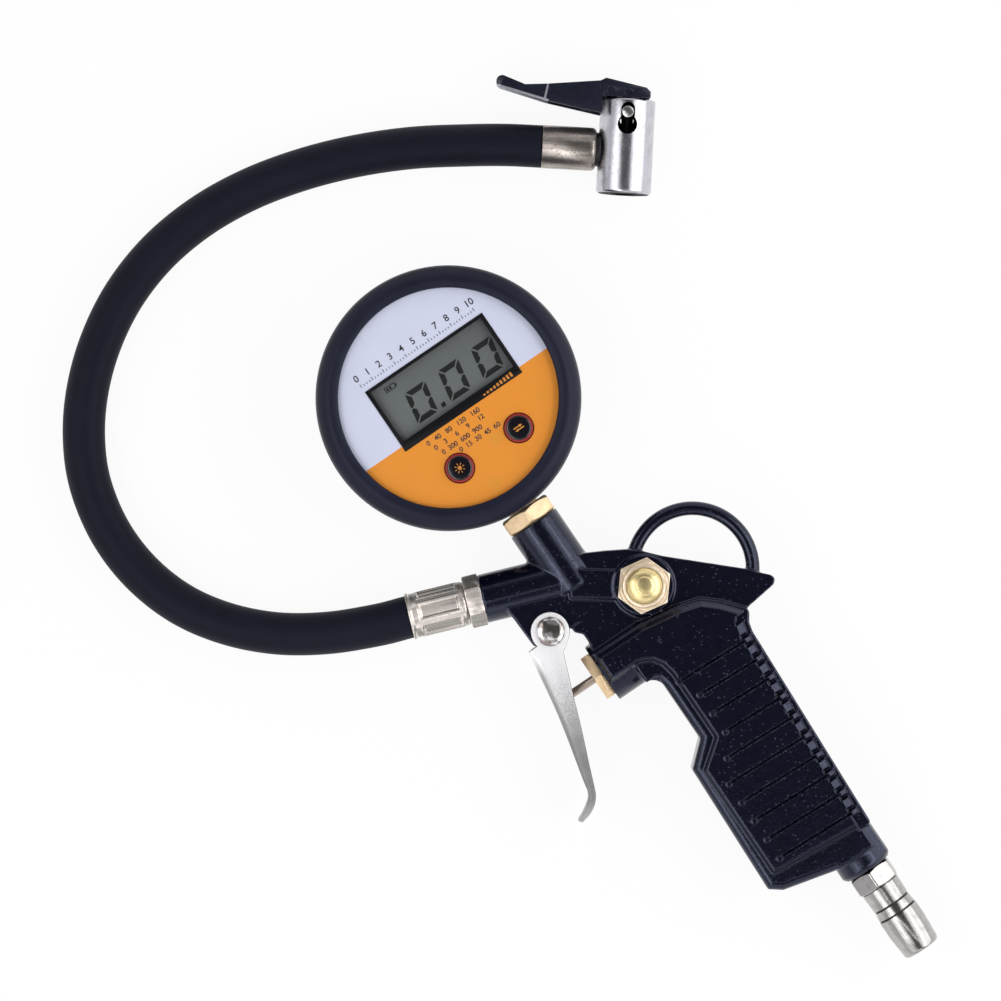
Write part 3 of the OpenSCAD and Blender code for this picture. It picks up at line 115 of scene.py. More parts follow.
# Its front from its top to its tip, and its back from the tip to where the ear begins
BLADE_FRONT = [
    (-40.3, 2.8), (-43.7, -18), (-48.4, -38.2), (-49.2, -42), (-50.3, -44.2), (-52.4, -45.9),
    (-54.6, -47.2), (-56.6, -48.1),
]
BLADE_BACK = [
    (-55.7, -49), (-52.4, -48.2), (-49.8, -46.7), (-48.2, -45), (-47.1, -43), (-44.1, -35.4),
    (-39.9, -25), (-36.4, -15.6), (-31.5, -3),
]
# Along the blade, and across it, as its grain and its painted shade are measured
BLADE_WAY = (-0.155, -0.988, 0)
BLADE_ACROSS = (0.981, -0.194, 0)

# The gauge
GAUGE_AXIS = Vector((-17, 80.2, 0))
STEM_FOOT = Vector((-17, 25.5, Z_MID))
BOOT_LIP = 33.2
LABEL_TOP = 31.5
DISPLAY_TOP = 29.3
DIGIT_STEP = 12.0
DIGIT_SIZE = (7.3, 10.0, 1.65)
SEGMENTS = {
    "0": "abcdef", "1": "bc", "2": "abged", "3": "abgcd", "4": "fgbc", "5": "afgcd", "6": "afgedc", "7": "abc",
    "8": "abcdefg", "9": "abfgcd",
}
SCALE_START = -19.8
SCALE_STEP = 4.1
# Start of each row of range numbers, and what it says
RANGES = (
    (-13.2, "0   40   80   120   160"), (-12, "0    3     6     9     12"), (-10.8, "0  300  600  900"),
    (-6, "0  15  30  45  60"),
)

# The chuck: its way leads from the hose to the barrel, and up leads along the barrel to the lever
CHUCK_CENTRE = Vector((70.3, 112.6, 8.4))
CHUCK_TURN = math.radians(-37.3)
CHUCK_WAY = Vector((math.cos(CHUCK_TURN), math.sin(CHUCK_TURN), 0))
CHUCK_UP = Vector((-math.sin(CHUCK_TURN), math.cos(CHUCK_TURN), 0))
CHUCK_MOUTH = CHUCK_CENTRE - 25.5 * CHUCK_WAY
KEYHOLE = 3
KEYHOLE_SLOT = 2.1

HOSE_POINTS = [
    (-74, 35.6, 11.6), (-88, 42.2, 10), (-101, 50.9, 8.2), (-112, 62, 7), (-120.2, 75, 6.5),
    (-124.8, 90, 6.5), (-125.5, 105.5, 6.5), (-122.2, 121, 6.5), (-115.6, 134, 6.5),
    (-106.4, 145.3, 6.5), (-94.8, 155, 6.5), (-81, 162.7, 6.5), (-65.2, 167.6, 6.5),
    (-48.5, 169.2, 6.5), (-31.8, 167.8, 6.5), (-15, 163.8, 6.5), (1.2, 157.9, 6.5),
    (17, 150.2, 6.7), (32, 140.9, 7.3), (41.6, 134.4, 7.9),
]

# The studio: the middle of the view, and each lamp's side, lean from the zenith in degrees, size and radiance.
# A side is given along the view's right and up.
VIEW_MIDDLE = (-21.4, 45.8, 12)
SENSOR = 36
LAMP_AWAY = 0.95
LEFT_SIDE = (-0.92, -0.38)
LAMPS = {
    "box_right": ((1, 0), 54, (1.3, 1.0), 1.75),
    "box_left": (LEFT_SIDE, 35, (1.3, 0.66), 1.65),
    "core_right": ((1, 0), 46, (1.1, 0.10), 5.0),
    "core_left": (LEFT_SIDE, 33, (1.1, 0.08), 5.0),
    "box_top": ((0, 1), 58, (1.0, 0.40), 0.6),
    "strip": ((0, -1), 20, (1.0, 0.06), 2.4),
    "box_foot": ((0, -1), 58, (1.0, 0.40), 0.8),
}


def row(point):
    """A point of the source's millimetres, in metres of the row frame."""
    return (Vector(point) + BLEED_AXIS) * MM


def source_box(node):
    """The box of a CAD node in millimetres of the source."""
    return [corner / MM - BLEED_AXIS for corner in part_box(node)]


def standing(origin, way, turn=0.0):
    """Places a turned piece: its z axis runs along way from origin, both in millimetres of the source."""
    z = Vector(way).normalized()
    x = UP.cross(z)
    x = x.normalized() if x.length > 1e-6 else Vector((1, 0, 0))
    axes = Matrix((x, z.cross(x), z)).transposed().to_4x4()
    return Matrix.Translation(row(origin)) @ axes @ Matrix.Rotation(turn, 4, "Z") @ Matrix.Scale(MM, 4)


# ---- Sizes and colours a user may change ----


def colour(name, description, default):
    return FloatVectorProperty(
        name=name, description=description, default=default, size=3, min=0, max=1, subtype="COLOR"
    )


def number(name, description, default, low, high, **more):
    return FloatProperty(name=name, description=description, default=default, min=low, max=high, **more)


def length(*words_and_range):
    return number(*words_and_range, unit="LENGTH", precision=5)


def share(name, description, default):
    return number(name, description, default, 0, 1, subtype="FACTOR")


def count(name, description, default, low, high):
    return IntProperty(name=name, description=description, default=default, min=low, max=high)


class CastingLook(bpy.types.PropertyGroup):
    """The painted casting and the painted lever."""

    paint: colour("Paint", "Colour of the gloss paint on the casting", (0.0018, 0.0021, 0.0070))
    lever_paint: colour("Lever paint", "Colour of the paint on the chuck's lever", (0.0050, 0.0062, 0.0150))
    gloss: share("Roughness", "Roughness of the paint", 0.13)
    grain: length("Grain", "Size of the grains of the casting under the paint", 0.0009, 0.0003, 0.003)
    grain_depth: length("Grain depth", "Depth of the grains", 0.00012, 0, 0.0005)
    voxel: length("Mesh size", "Size of the mesh of the casting", 0.00036, 0.0003, 0.001)
    fillet_steps: count("Fillet steps", "How far the edges of the casting are rounded", 5, 0, 20)


class GaugeLook(bpy.types.PropertyGroup):
    """The rubber boot, the printed face and the display."""

    boot: colour("Boot", "Colour of the rubber boot", (0.0055, 0.0064, 0.0170))
    face_upper: colour("Upper face", "Colour of the face above its dividing line", (0.62, 0.645, 0.79))
    face_lower: colour("Lower face", "Colour of the face below its dividing line", (0.80, 0.285, 0.028))
    divide: number("Dividing line", "Height in millimetres of the line between the two, over the centre", -4.3, -20, 20)
    display: colour("Display", "Colour of the display without its digits", (0.115, 0.127, 0.125))
    reading: StringProperty(name="Reading", description="Number shown on the display", default="0.00")
    slant: number("Slant", "Slant of the digits", math.radians(10), 0, 0.4, subtype="ANGLE")
    key_rim: colour("Key rim", "Colour of the ring round a key", (0.32, 0.012, 0.016))


class HoseLook(bpy.types.PropertyGroup):
    """The hose between its two ferrules."""

    rubber: colour("Rubber", "Colour of the hose", (0.0045, 0.0052, 0.0110))
    diameter: length("Diameter", "Outer diameter of the hose", 0.013, 0.01, 0.014)
    sides: count("Sides", "Number of sides of the hose's mesh", 48, 12, 96)


class MetalLook(bpy.types.PropertyGroup):
    """The unpainted metals."""

    brass: colour("Pale brass", "Colour of the machined hexagons", (0.96, 0.72, 0.44))
    rim_brass: colour("Rim brass", "Colour of the bleed valve's hexagon", (0.92, 0.76, 0.56))
    bleed_brass: colour("Yellow brass", "Colour of the bleed valve's button", (0.90, 0.73, 0.36))
    steel: colour("Steel", "Colour of the stamped trigger", (0.98, 0.965, 0.97))
    chrome: colour("Chrome", "Colour of the chrome plating", (0.60, 0.60, 0.64))
    turned_steel: colour("Turned steel", "Colour of the inlet nipple", (0.50, 0.48, 0.46))
    nickel: colour("Nickel", "Colour of the ferrules", (0.52, 0.475, 0.44))
    edge: length("Edge", "Width of the broken edges of the metal pieces", 0.0003, 0.0001, 0.0006)


class StudioLook(bpy.types.PropertyGroup):
    """Camera, lamps and floor."""

    floor: colour("Floor", "Colour of the floor", (0.97, 0.97, 0.97))
    floor_glow: share("Floor glow", "How much of the floor's own white the camera and the reflections see", 0.92)
    frame_width: length("Frame width", "Width that the camera sees at the middle of the gun", 0.3053, 0.1, 1)
    camera_height: length("Camera height", "Height of the camera over the middle of the gun", 1.6, 0.5, 5)
    camera_turn: number(
        "Camera turn", "Turn of the camera about its line of sight", math.radians(-34.25), -math.pi, math.pi,
        subtype="ANGLE",
    )
    lamps: number("Lamps", "Strength of all the lamps", 0.80, 0, 5)
    ambient: number("Ambient light", "Strength of the light from all round", 1.0, 0, 2)
    overhead: share("Overhead", "Brightness of what hangs over the object, which flat glossy faces mirror", 0.08)


LOOKS = {
    "inflator_casting": CastingLook,
    "inflator_gauge": GaugeLook,
    "inflator_hose": HoseLook,
    "inflator_metal": MetalLook,
    "inflator_studio": StudioLook,
}


# ---- Shader maths ----


class Wire:
    """A shader socket that takes part in Python arithmetic; each operation adds its Math node."""

    def __init__(self, finish, socket):
        self.finish = finish
        self.socket = socket

    def maths(self, operation, *values):
        return self.finish.add("Math", {"operation": operation}, dict(enumerate(values)))

    def __add__(self, other):
        return self.maths("ADD", self, other)

    def __sub__(self, other):
        return self.maths("SUBTRACT", self, other)

    def __rsub__(self, other):
        return self.maths("SUBTRACT", other, self)

    def __mul__(self, other):
        return self.maths("MULTIPLY", self, other)

    def __lt__(self, other):
        return self.maths("LESS_THAN", self, other)

    def __abs__(self):
        return self.maths("ABSOLUTE", self)

    def wave(self):
        """Sine of so many whole turns."""
        return self.maths("SINE", self * math.tau)

    def most(self, other):
        return self.maths("MAXIMUM", self, other)

    def between(self, low, high):
        """0 below low, 1 above high and smooth between; high may be the lower one."""
        settings = {"interpolation_type": "SMOOTHSTEP"}
        return self.finish.add("MapRange", settings, {"Value": self, "From Min": low, "From Max": high})

    __radd__ = __add__
    __rmul__ = __mul__


class Nodes:
    """A node tree to which nodes are added, with places measured in millimetres."""

    def __init__(self, tree):
        self.tree = tree

    def add(self, kind, settings=None, inputs=None, output=0):
        """Adds a shader node: its settings first, then the values or links of its sockets. Returns one output."""
        node = self.tree.nodes.new("ShaderNode" + kind)
        for key, value in (settings or {}).items():
            setattr(node, key, value)
        for key, value in (inputs or {}).items():
            self.give(node.inputs[key], value)
        return Wire(self, node.outputs[output])

    def give(self, socket, value):
        if isinstance(value, Wire):
            self.tree.links.new(value.socket, socket)
        elif socket.type == "RGBA":
            socket.default_value = (*value[:3], 1)
        else:
            socket.default_value = value

    def place(self):
        """The point in the row frame at rest, as a vector in metres."""
        return self.add("TexCoord", output="Object")

    def part(self, vector, axis):
        return self.add("SeparateXYZ", inputs={0: vector}, output=axis)

    def dot(self, vector, way):
        return self.add("VectorMath", {"operation": "DOT_PRODUCT"}, {0: vector, 1: Vector(way)}, "Value")

    def along(self, origin, way):
        """Distance in millimetres from origin along way, both as the source measures them."""
        return (self.dot(self.place(), way) - row(origin).dot(Vector(way))) * (1 / MM)

    def facing(self, way):
        """How far the surface faces way: 1 for straight, 0 for side on."""
        return self.dot(self.add("NewGeometry", output="Normal"), way)

    def noise(self, size, detail=2, place=None):
        """Smooth noise from 0 to 1 whose grains are about size millimetres."""
        inputs = {"Vector": place or self.place(), "Scale": 1 / (size * MM), "Detail": detail}
        return self.add("TexNoise", inputs=inputs)

    def lines(self, size, way, stretch=14):
        """Noise drawn out into fine lines along way."""
        way = Vector(way).normalized()
        side = UP.cross(way).normalized()
        axes = (way / stretch, side, way.cross(side))
        parts = [self.dot(self.place(), axis) for axis in axes]
        return self.noise(size, 3, self.add("CombineXYZ", inputs=dict(enumerate(parts))))

    def cells(self, size):
        """Distance to the nearest of scattered points, about size millimetres apart, from 0 to about 1."""
        inputs = {"Vector": self.place(), "Scale": 1 / (size * MM)}
        return self.add("TexVoronoi", inputs=inputs, output="Distance")

    def mix(self, mask, first, second):
        return self.add("Mix", {"data_type": "RGBA"}, {0: mask, 6: first, 7: second}, output=2)


class Finish(Nodes):
    """One material: a Principled shader and what varies over it."""

    def __init__(self, name, **same):
        self.material = bpy.data.materials.new(name)
        self.material.use_nodes = True
        super().__init__(self.material.node_tree)
        self.shader = self.tree.nodes["Principled BSDF"]
        self.set(**same)

    def set(self, relief=None, **values):
        """Gives the shader's sockets values; relief is a height from 0 to 1, and its depth in millimetres."""
        for key, value in values.items():
            self.give(self.shader.inputs[key.replace("_", " ").title().replace("Ior", "IOR")], value)
        if relief:
            height, depth = relief
            inputs = {"Height": height, "Distance": depth * MM, "Strength": 1}
            self.give(self.shader.inputs["Normal"], self.add("Bump", inputs=inputs))
        return self


def tint(shade, factor):
    return tuple(min(1, c * factor) for c in shade[:3])


def finished(build):
    """Keeps one material of each kind, however many pieces use it."""
    kept = {}

    def once(*key):
        if key not in kept:
            kept[key] = build(*key).material
        return kept[key]

    return once


# ---- Finishes ----

# For each simple finish: metallic and specular level, its roughness with how much noise adds and that noise's
# size and detail, the size, detail and depth of the noise of its relief, and its colour. Two colours are mixed
# by a noise of a size and detail, and the pair after it is where the second one begins and where it is full.
SIMPLE = {
    "seal_rubber": (0, 0.4, (0.45, 0.1, 1.5, 2), None, (0.012, 0.012, 0.012)),
    "bright_steel": (1, 0.5, (0.16, 0.14, 1.2, 4), (0.6, 3, 0.012), (0.66, 0.655, 0.65)),
    "spring_wire": (1, 0.5, (0.25, 0.2, 0.8, 2), None, (0.42, 0.42, 0.43)),
    "screw_steel": (1, 0.5, (0.28, 0.2, 1.0, 3), None, (0.34, 0.34, 0.36)),
    "blackened_steel": (0.3, 0.5, (0.32, 0.15, 1.4, 3), (0.7, 2, 0.02), (0.012, 0.012, 0.015)),
    "black_plastic": (0, 0.14, (0.36, 0.12, 2.2, 3), (0.3, 2, 0.02), (0.0045, 0.0045, 0.0055)),
    "white_plastic": (0, 0.4, (0.42, 0.1, 8, 2), None, (0.74, 0.74, 0.76), (0.80, 0.80, 0.82), (8, 2)),
    "display_ink": (0, 0.03, (0.5, 0.1, 1.0, 2), None, (0.006, 0.008, 0.008), (0.013, 0.016, 0.015), (2.5, 2)),
    "dark_ink": (
        0, 0.3, (0.45, 0.1, 0.6, 3), None, (0.02, 0.02, 0.026), (0.09, 0.085, 0.09), (0.6, 3), (0.45, 0.72),
    ),
    "orange_ink": (
        0, 0.3, (0.45, 0.1, 0.6, 3), None, (0.62, 0.25, 0.04), (0.36, 0.13, 0.02), (0.6, 3), (0.45, 0.72),
    ),
}


@finished
def simple(name):
    """One of the simple finishes."""
    metallic, specular, (roughness, added, *grain), relief, shade, *more = SIMPLE[name]
    f = Finish(name, metallic=metallic, specular_ior_level=specular)
    if more:
        second, cloud, *edges = more
        mask = f.noise(*cloud)
        shade = f.mix(mask.between(*edges[0]) if edges else mask, shade, second)
    f.set(base_color=shade, roughness=roughness + added * f.noise(*grain))
    if relief:
        f.set(relief=(f.noise(*relief[:2]), relief[2]))
    return f


@finished
def casting_paint():
    """Gloss paint over a rough casting: grains, pimples and dark hollows, with lighter specks that are partly wear and
    partly painted highlights.
    """
    look = bpy.context.scene.inflator_casting
    f = Finish("casting_paint", specular_ior_level=0.60, specular_tint=(0.62, 0.68, 1.0), coat_roughness=0.1)
    grain = look.grain / MM
    soft = f.noise(grain * 3.2, 2)
    fine = f.noise(grain, 3)
    rough_spots = f.noise(9, 2).between(0.47, 0.62)
    pimples = f.cells(grain * 1.5).between(0.26, 0.08) * f.noise(1.9, 3).between(0.49, 0.62)
    pimples *= 0.2 + 0.8 * rough_spots
    pits = f.cells(grain * 2.2).between(0.14, 0.04)
    # Lighter specks with less coat: partly wear, and partly painted highlights that stand for glints
    wear_and_glints = f.noise(1.1, 4).between(0.66, 0.76) * rough_spots
    height = soft * 0.55 + fine * 0.45 + pimples * 1.6 - pits * 0.9
    return f.set(
        base_color=f.mix(wear_and_glints * 0.35, look.paint, (0.030, 0.032, 0.050)),
        roughness=look.gloss + 0.09 * soft + 0.06 * fine,
        coat_weight=0.15 - 0.1 * wear_and_glints,
        relief=(height, look.grain_depth / MM),
    )


@finished
def lever_paint():
    """Semi-gloss paint on the pressed lever, with a lighter line along its crease and a painted highlight along the
    underside of its tip.
    """
    look = bpy.context.scene.inflator_casting
    f = Finish("lever_paint", specular_ior_level=0.34, specular_tint=(0.75, 0.82, 1.0))
    along = f.along(CHUCK_CENTRE, CHUCK_WAY)
    up = f.along(CHUCK_CENTRE, CHUCK_UP)
    grime = f.noise(1.4, 3)
    # Painted lighter and more metallic: a patchy line along the crease, and a painted highlight along the underside of
    # the tip
    crease = abs(along + 25.2 - 0.18 * (up - 16)).between(0.42, 0.2) * grime.between(0.32, 0.50)
    underside_highlight = (up - 17.3 + 0.252 * (along + 39.3)).between(0.75, 0.45) * (along + 24.4 < 0)
    crease_line_and_underside_highlight = (crease * 0.8).most(underside_highlight * 0.85)
    scuff = f.noise(0.7, 4).between(0.64, 0.72) * 0.5
    return f.set(
        base_color=f.mix(crease_line_and_underside_highlight, f.mix(scuff, look.lever_paint, (0.05, 0.05, 0.07)), (0.42, 0.42, 0.46)),
        metallic=crease_line_and_underside_highlight * 0.6,
        roughness=0.36 + 0.14 * grime,
        coat_weight=0.25 - 0.25 * crease_line_and_underside_highlight,
        relief=(f.noise(0.8, 3), 0.04),
    )


@finished
def boot_rubber():
    """Moulded rubber: satin, faintly cloudy and dusty."""
    look = bpy.context.scene.inflator_gauge
    f = Finish("boot_rubber", specular_ior_level=0.3, specular_tint=(0.78, 0.82, 1.0))
    cloud = f.noise(9, 3)
    dust = f.noise(0.5, 3).between(0.70, 0.78)
    shade = f.mix(cloud.between(0.3, 0.75), tint(look.boot, 0.85), tint(look.boot, 1.3))
    return f.set(
        base_color=f.mix(dust * 0.4, shade, (0.05, 0.05, 0.065)),
        roughness=0.44 + 0.12 * cloud,
        relief=(f.noise(0.35, 2) * 0.6 + f.noise(2.2, 2) * 0.4, 0.03),
    )


@finished
def hose_rubber():
    """Rubber hose with the print of the cloth it was wrapped in, which winds round it."""
    look = bpy.context.scene.inflator_hose
    f = Finish("hose_rubber", specular_ior_level=0.18, specular_tint=(0.8, 0.85, 1.0))
    strip = f.add("UVMap")
    turns, run = f.part(strip, "X") * 34, f.part(strip, "Y") * 20
    cloth = (turns + run).wave() * (turns - run).wave() * 0.5 + 0.5
    cloud = f.noise(14, 3)
    return f.set(
        base_color=f.mix(cloud, tint(look.rubber, 0.8), tint(look.rubber, 1.4)),
        roughness=0.48 + 0.12 * cloud + 0.06 * cloth,
        relief=(cloth * 0.55 + f.noise(1.1, 3) * 0.45, 0.05),
    )


@finished
def machined_brass(kind):
    """Brass with the fine lines of turning or milling and a little tarnish."""
    look = bpy.context.scene.inflator_metal
    shade = {"yellow": look.bleed_brass, "rim": look.rim_brass}.get(kind, look.brass)
    metallic, roughness = (0.85, 0.20) if kind == "yellow" else (0.75, 0.34)
    f = Finish(f"{kind}_brass", metallic=metallic, specular_ior_level=0.5)
    tarnish = f.noise(2.6, 4)
    lines = f.lines(0.35, (1, 0.1, 0))
    speck = f.noise(0.45, 3).between(0.66, 0.74)
    dulled = f.mix(tarnish.between(0.35, 0.8), shade, tint(shade, 0.82))
    return f.set(
        base_color=f.mix(speck * 0.6, dulled, tint(shade, 0.42)),
        roughness=roughness + 0.12 * tarnish + 0.06 * lines,
        relief=(lines * 0.5 + tarnish * 0.5, 0.03),
    )


@finished
def stamped_steel():
    """Satin sheet: rolled grain along the trigger and fine pits, with painted shade darkening it towards its tip and
    along its front fold, its very tip painted a little lighter, and painted shade on the cut edges that face the rear.
    """
    look = bpy.context.scene.inflator_metal
    f = Finish("stamped_steel", metallic=0.4, specular_ior_level=0.5)
    down = f.along((-40, 3, 0), BLADE_WAY)
    fold = f.along((-40.3, 3, 0), BLADE_ACROSS).between(3.4, 0.8) * down.between(2, 10)
    grain = f.noise(0.35, 4)
    streak = f.lines(0.5, BLADE_WAY, 5)
    cloud = f.noise(4, 3)
    shade = look.steel
    # Each layer: how much of it, and how bright it is against plain steel. The first, second and fourth are painted
    # light: shade towards the tip, shade along the front fold and a lighter very tip; the third is grain that is also
    # painted darker towards the tip; the last is streaks.
    for share_of, brightness in (
        (down.between(4, 38) * (0.65 + 0.35 * cloud), 0.13),
        (fold * 0.75, 0.22),
        (grain.between(0.42, 0.62) * down.between(2, 24) * 0.65, 0.26),
        (down.between(48, 53) * 0.5, 0.6),
        (streak * 0.15, 0.5),
    ):
        shade = f.mix(share_of, shade, tint(look.steel, brightness))
    # Painted shade on the cut edges that face the rear
    rear_edge_shade = f.facing((0.97, -0.22, 0)).between(0.35, 0.7)
    return f.set(
        base_color=f.mix(rear_edge_shade * 0.95, shade, (0.02, 0.02, 0.025)),
        roughness=0.36 + 0.12 * grain + 0.10 * cloud,
        relief=(grain * 0.6 + cloud * 0.3 + streak * 0.2, 0.05),
    )


@finished
def pin_steel():
    """Warm polished rod with the lines of its drawing."""
    f = Finish("pin_steel", metallic=0.8)
    lines = f.lines(0.2, (1, 0, 0))
    return f.set(base_color=f.mix(lines, (0.60, 0.50, 0.42), (0.44, 0.36, 0.31)), roughness=0.26 + 0.12 * lines)


@finished
def rivet_steel():
    """Bright hammered head with dark brown patches over it: a painted reflection."""
    f = Finish("rivet_steel", metallic=0.95)
    # Dark brown patches over the bright head: a painted reflection
    brown_patches = f.noise(3.2, 1).between(0.44, 0.58)
    return f.set(
        base_color=f.mix(brown_patches, (0.30, 0.26, 0.25), (0.86, 0.85, 0.84)),
        roughness=0.16 + 0.12 * f.noise(0.7, 3),
        relief=(f.noise(4.8, 0), 0.8),
    )


@finished
def chrome_plate():
    """Satin plating with soft ripples and a few dull smears, painted near black inside the bore as painted shade."""
    look = bpy.context.scene.inflator_metal
    f = Finish("chrome_plate", metallic=1)
    aside = f.along(CHUCK_CENTRE, CHUCK_WAY)
    height = f.along(CHUCK_CENTRE, UP)
    # The square of the distance from the barrel's axis, which falls from its wall to its bore
    # Inside the bore the colour turns near black: painted shade
    bore = (aside * aside + height * height).between(64, 56)
    smear = f.noise(3.0, 4)
    rust = f.noise(1.2, 3).between(0.56, 0.70) * aside.between(0, -6)
    shade = f.mix(smear.between(0.42, 0.75), look.chrome, tint(look.chrome, 0.82))
    return f.set(
        base_color=f.mix(bore, f.mix(rust * 0.5, shade, (0.42, 0.32, 0.31)), (0.004, 0.004, 0.006)),
        roughness=0.22 + 0.10 * smear.between(0.4, 0.75) + 0.4 * bore,
        relief=(f.noise(5, 1) * 0.7 + f.noise(0.5, 2) * 0.14, 0.06),
    )


@finished
def nipple_steel():
    """Greyer turned plating with the rings of its turning, and painted shade in its two grooves."""
    look = bpy.context.scene.inflator_metal
    f = Finish("nipple_steel", metallic=1)
    smear = f.noise(2.2, 3)
    run = f.along(INLET, (0, -1, 0))
    first, second = NIPPLE_GROOVES
    # Painted shade in the two grooves
    groove = abs(run - first).between(0.42, 0.22).most(abs(run - second).between(0.38, 0.18))
    shade = f.mix(smear.between(0.4, 0.7), look.turned_steel, tint(look.turned_steel, 0.80))
    return f.set(
        base_color=f.mix(groove * 0.9, shade, (0.03, 0.03, 0.03)),
        roughness=0.14 + 0.08 * smear + 0.3 * groove,
        relief=(f.lines(0.3, (1, 0, 0), 12) * 0.3 + smear * 0.7, 0.03),
    )


@finished
def nickel_plate(kind):
    """Satin nickel, warm and stained brown at the chuck, painted brighter at the gun, with streaks drawn along the
    sleeve; at the gun its upper and lower flanks are darkened as painted shade.
    """
    look = bpy.context.scene.inflator_metal
    gun = kind == "gun"
    # The gun's copy is painted nearly twice as bright as the plain nickel: painted light
    way, metallic, bright, dark = (OUTLET_WAY, 0.55, 1.90, 0.66) if gun else (CHUCK_WAY, 0.9, 0.86, 0.60)
    drawn, stained, roughness, depth = (0.2, 0.25, 0.20, 0.012) if gun else (0.6, 0.6, 0.22, 0.03)
    f = Finish(f"{kind}_nickel", metallic=metallic)
    base = tint(look.nickel, bright)
    brown_patches = f.noise(0.7, 4).between(0.54, 0.66)
    streak = f.lines(1.1, way, 10)
    shade = f.mix(streak.between(0.35, 0.65), base, tint(base, dark))
    shade = f.mix(f.lines(0.35, way, 12).between(0.52, 0.72) * drawn, shade, (0.24, 0.15, 0.11))
    shade = f.mix(brown_patches * stained, shade, (0.20, 0.13, 0.08))
    if gun:
        # At the gun, painted shade on the upper and lower flanks
        upper = f.facing((-0.24, 0.97, 0)).between(0.38, 0.62)
        low = f.facing((0.24, -0.97, 0))
        flank_shade = upper.most(low.between(0.42, 0.58) * low.between(0.86, 0.74))
        shade = f.mix(flank_shade * 0.72, shade, (0.14, 0.14, 0.12))
    return f.set(
        base_color=shade,
        roughness=roughness + 0.12 * streak + 0.10 * brown_patches,
        relief=(streak * 0.6 + f.noise(0.8, 2) * 0.4, depth),
    )


@finished
def face_print():
    """Printed overlay in two colours, slightly pressed by what lies under it."""
    look = bpy.context.scene.inflator_gauge
    f = Finish("face_print", specular_ior_level=0.4)
    below = (f.along(GAUGE_AXIS, (0, 1, 0)) - look.divide).between(0.06, -0.06)
    cloud = f.noise(7, 3)
    press = f.noise(11, 2).between(0.60, 0.78)
    upper = f.mix(cloud, tint(look.face_upper, 0.97), tint(look.face_upper, 1.03))
    lower = f.mix(cloud, look.face_lower, tint(look.face_lower, 0.93))
    return f.set(
        base_color=f.mix(below, upper, f.mix(press * 0.35, lower, (0.62, 0.30, 0.035))),
        roughness=0.40 + 0.08 * cloud,
        relief=(f.noise(0.5, 2) * 0.3 + press * 0.7, 0.012),
    )


@finished
def display_face():
    """Reflective liquid crystal cell, painted a little lighter towards its lower edge and darker towards its upper
    right: a painted gradient of light.
    """
    look = bpy.context.scene.inflator_gauge
    f = Finish("display_face", specular_ior_level=0.3)
    painted_light_fade = (f.along(GAUGE_AXIS, (0, 1, 0)) + 0.25 * f.along(GAUGE_AXIS, (1, 0, 0))).between(-7, 16)
    return f.set(base_color=f.mix(painted_light_fade, tint(look.display, 1.22), look.display), roughness=0.5 + 0.1 * f.noise(0.8, 2))


@finished
def clear_window():
    """Clear plastic pane: mostly see-through, with a sheen."""
    f = Finish("clear_window", base_color=(0.22, 0.23, 0.23), specular_ior_level=0.5)
    smear = f.noise(6, 3)
    return f.set(roughness=0.04 + 0.05 * smear, alpha=0.02 + 0.02 * smear)


@finished
def key_gloss():
    """Domed cap of clear resin over dark print, with a red ring round it."""
    look = bpy.context.scene.inflator_gauge
    f = Finish("key_gloss", specular_ior_level=0.6, coat_roughness=0.05)
    rim = (f.part(f.place(), "Z") * (1 / MM)).between(LABEL_TOP + 0.75, LABEL_TOP + 0.55)
    return f.set(
        base_color=f.mix(rim, (0.004, 0.003, 0.006), look.key_rim),
        roughness=0.12 + 0.06 * f.noise(1.6, 2) + 0.3 * rim,
        coat_weight=0.6 - 0.6 * rim,
    )


@finished
def board_green():
    f = Finish("board_green", specular_ior_level=0.5)
    stretched = f.add("VectorMath", {"operation": "MULTIPLY"}, {0: f.place(), 1: (1, 0.2, 1)})
    tracks = f.noise(1.6, 1, stretched).between(0.52, 0.56)
    return f.set(
        base_color=f.mix(tracks, (0.010, 0.055, 0.025), (0.020, 0.090, 0.045)), roughness=0.34 + 0.1 * tracks
    )


@finished
def cell_sleeve():
    f = Finish("cell_sleeve", specular_ior_level=0.5)
    band = f.along(GAUGE_AXIS, (1, 0, 0)).between(9.9, 10.1)
    return f.set(
        base_color=f.mix(band, (0.03, 0.03, 0.034), (0.55, 0.32, 0.08)), roughness=0.25 + 0.1 * f.noise(3, 2)
    )


# ---- Mesh making ----


def rounded(points, radius, steps=5):
    """A polyline whose inner corners are rounded by about radius."""
    path = [Vector(p) for p in points]
    out = [path[0]]
    for before, corner, after in zip(path, path[1:], path[2:]):
        sides = (before - corner, after - corner)
        start, end = (corner + side.normalized() * min(radius, side.length * 0.45) for side in sides)
        for i in range(steps + 1):
            t = i / steps
            out.append(start * (1 - t) ** 2 + corner * 2 * t * (1 - t) + end * t * t)
    return out + [path[-1]]


def curve_through(points, steps):
    """Smooth line through points, steps to each stretch."""
    path = [Vector(p) for p in points]
    ends = [path[0] * 2 - path[1], *path, path[-1] * 2 - path[-2]]
    out = []
    for a, b, c, d in zip(ends, ends[1:], ends[2:], ends[3:]):
        bend, twist = 2 * a - 5 * b + 4 * c - d, 3 * b - a - 3 * c + d
        for t in (i / steps for i in range(steps)):
            out.append(0.5 * (2 * b + (c - a) * t + bend * t**2 + twist * t**3))
    return out + [path[-1]]


def arc(centre, r, start, end, steps=6):
    """Points of an arc, with its angles in degrees."""
    angles = (math.radians(start + (end - start) * k / steps) for k in range(steps + 1))
    return [(centre[0] + r * math.cos(a), centre[1] + r * math.sin(a)) for a in angles]


def ring_pairs(ring):
    """Each point of a closed ring with the one after it."""
    return zip(ring, ring[1:] + ring[:1])


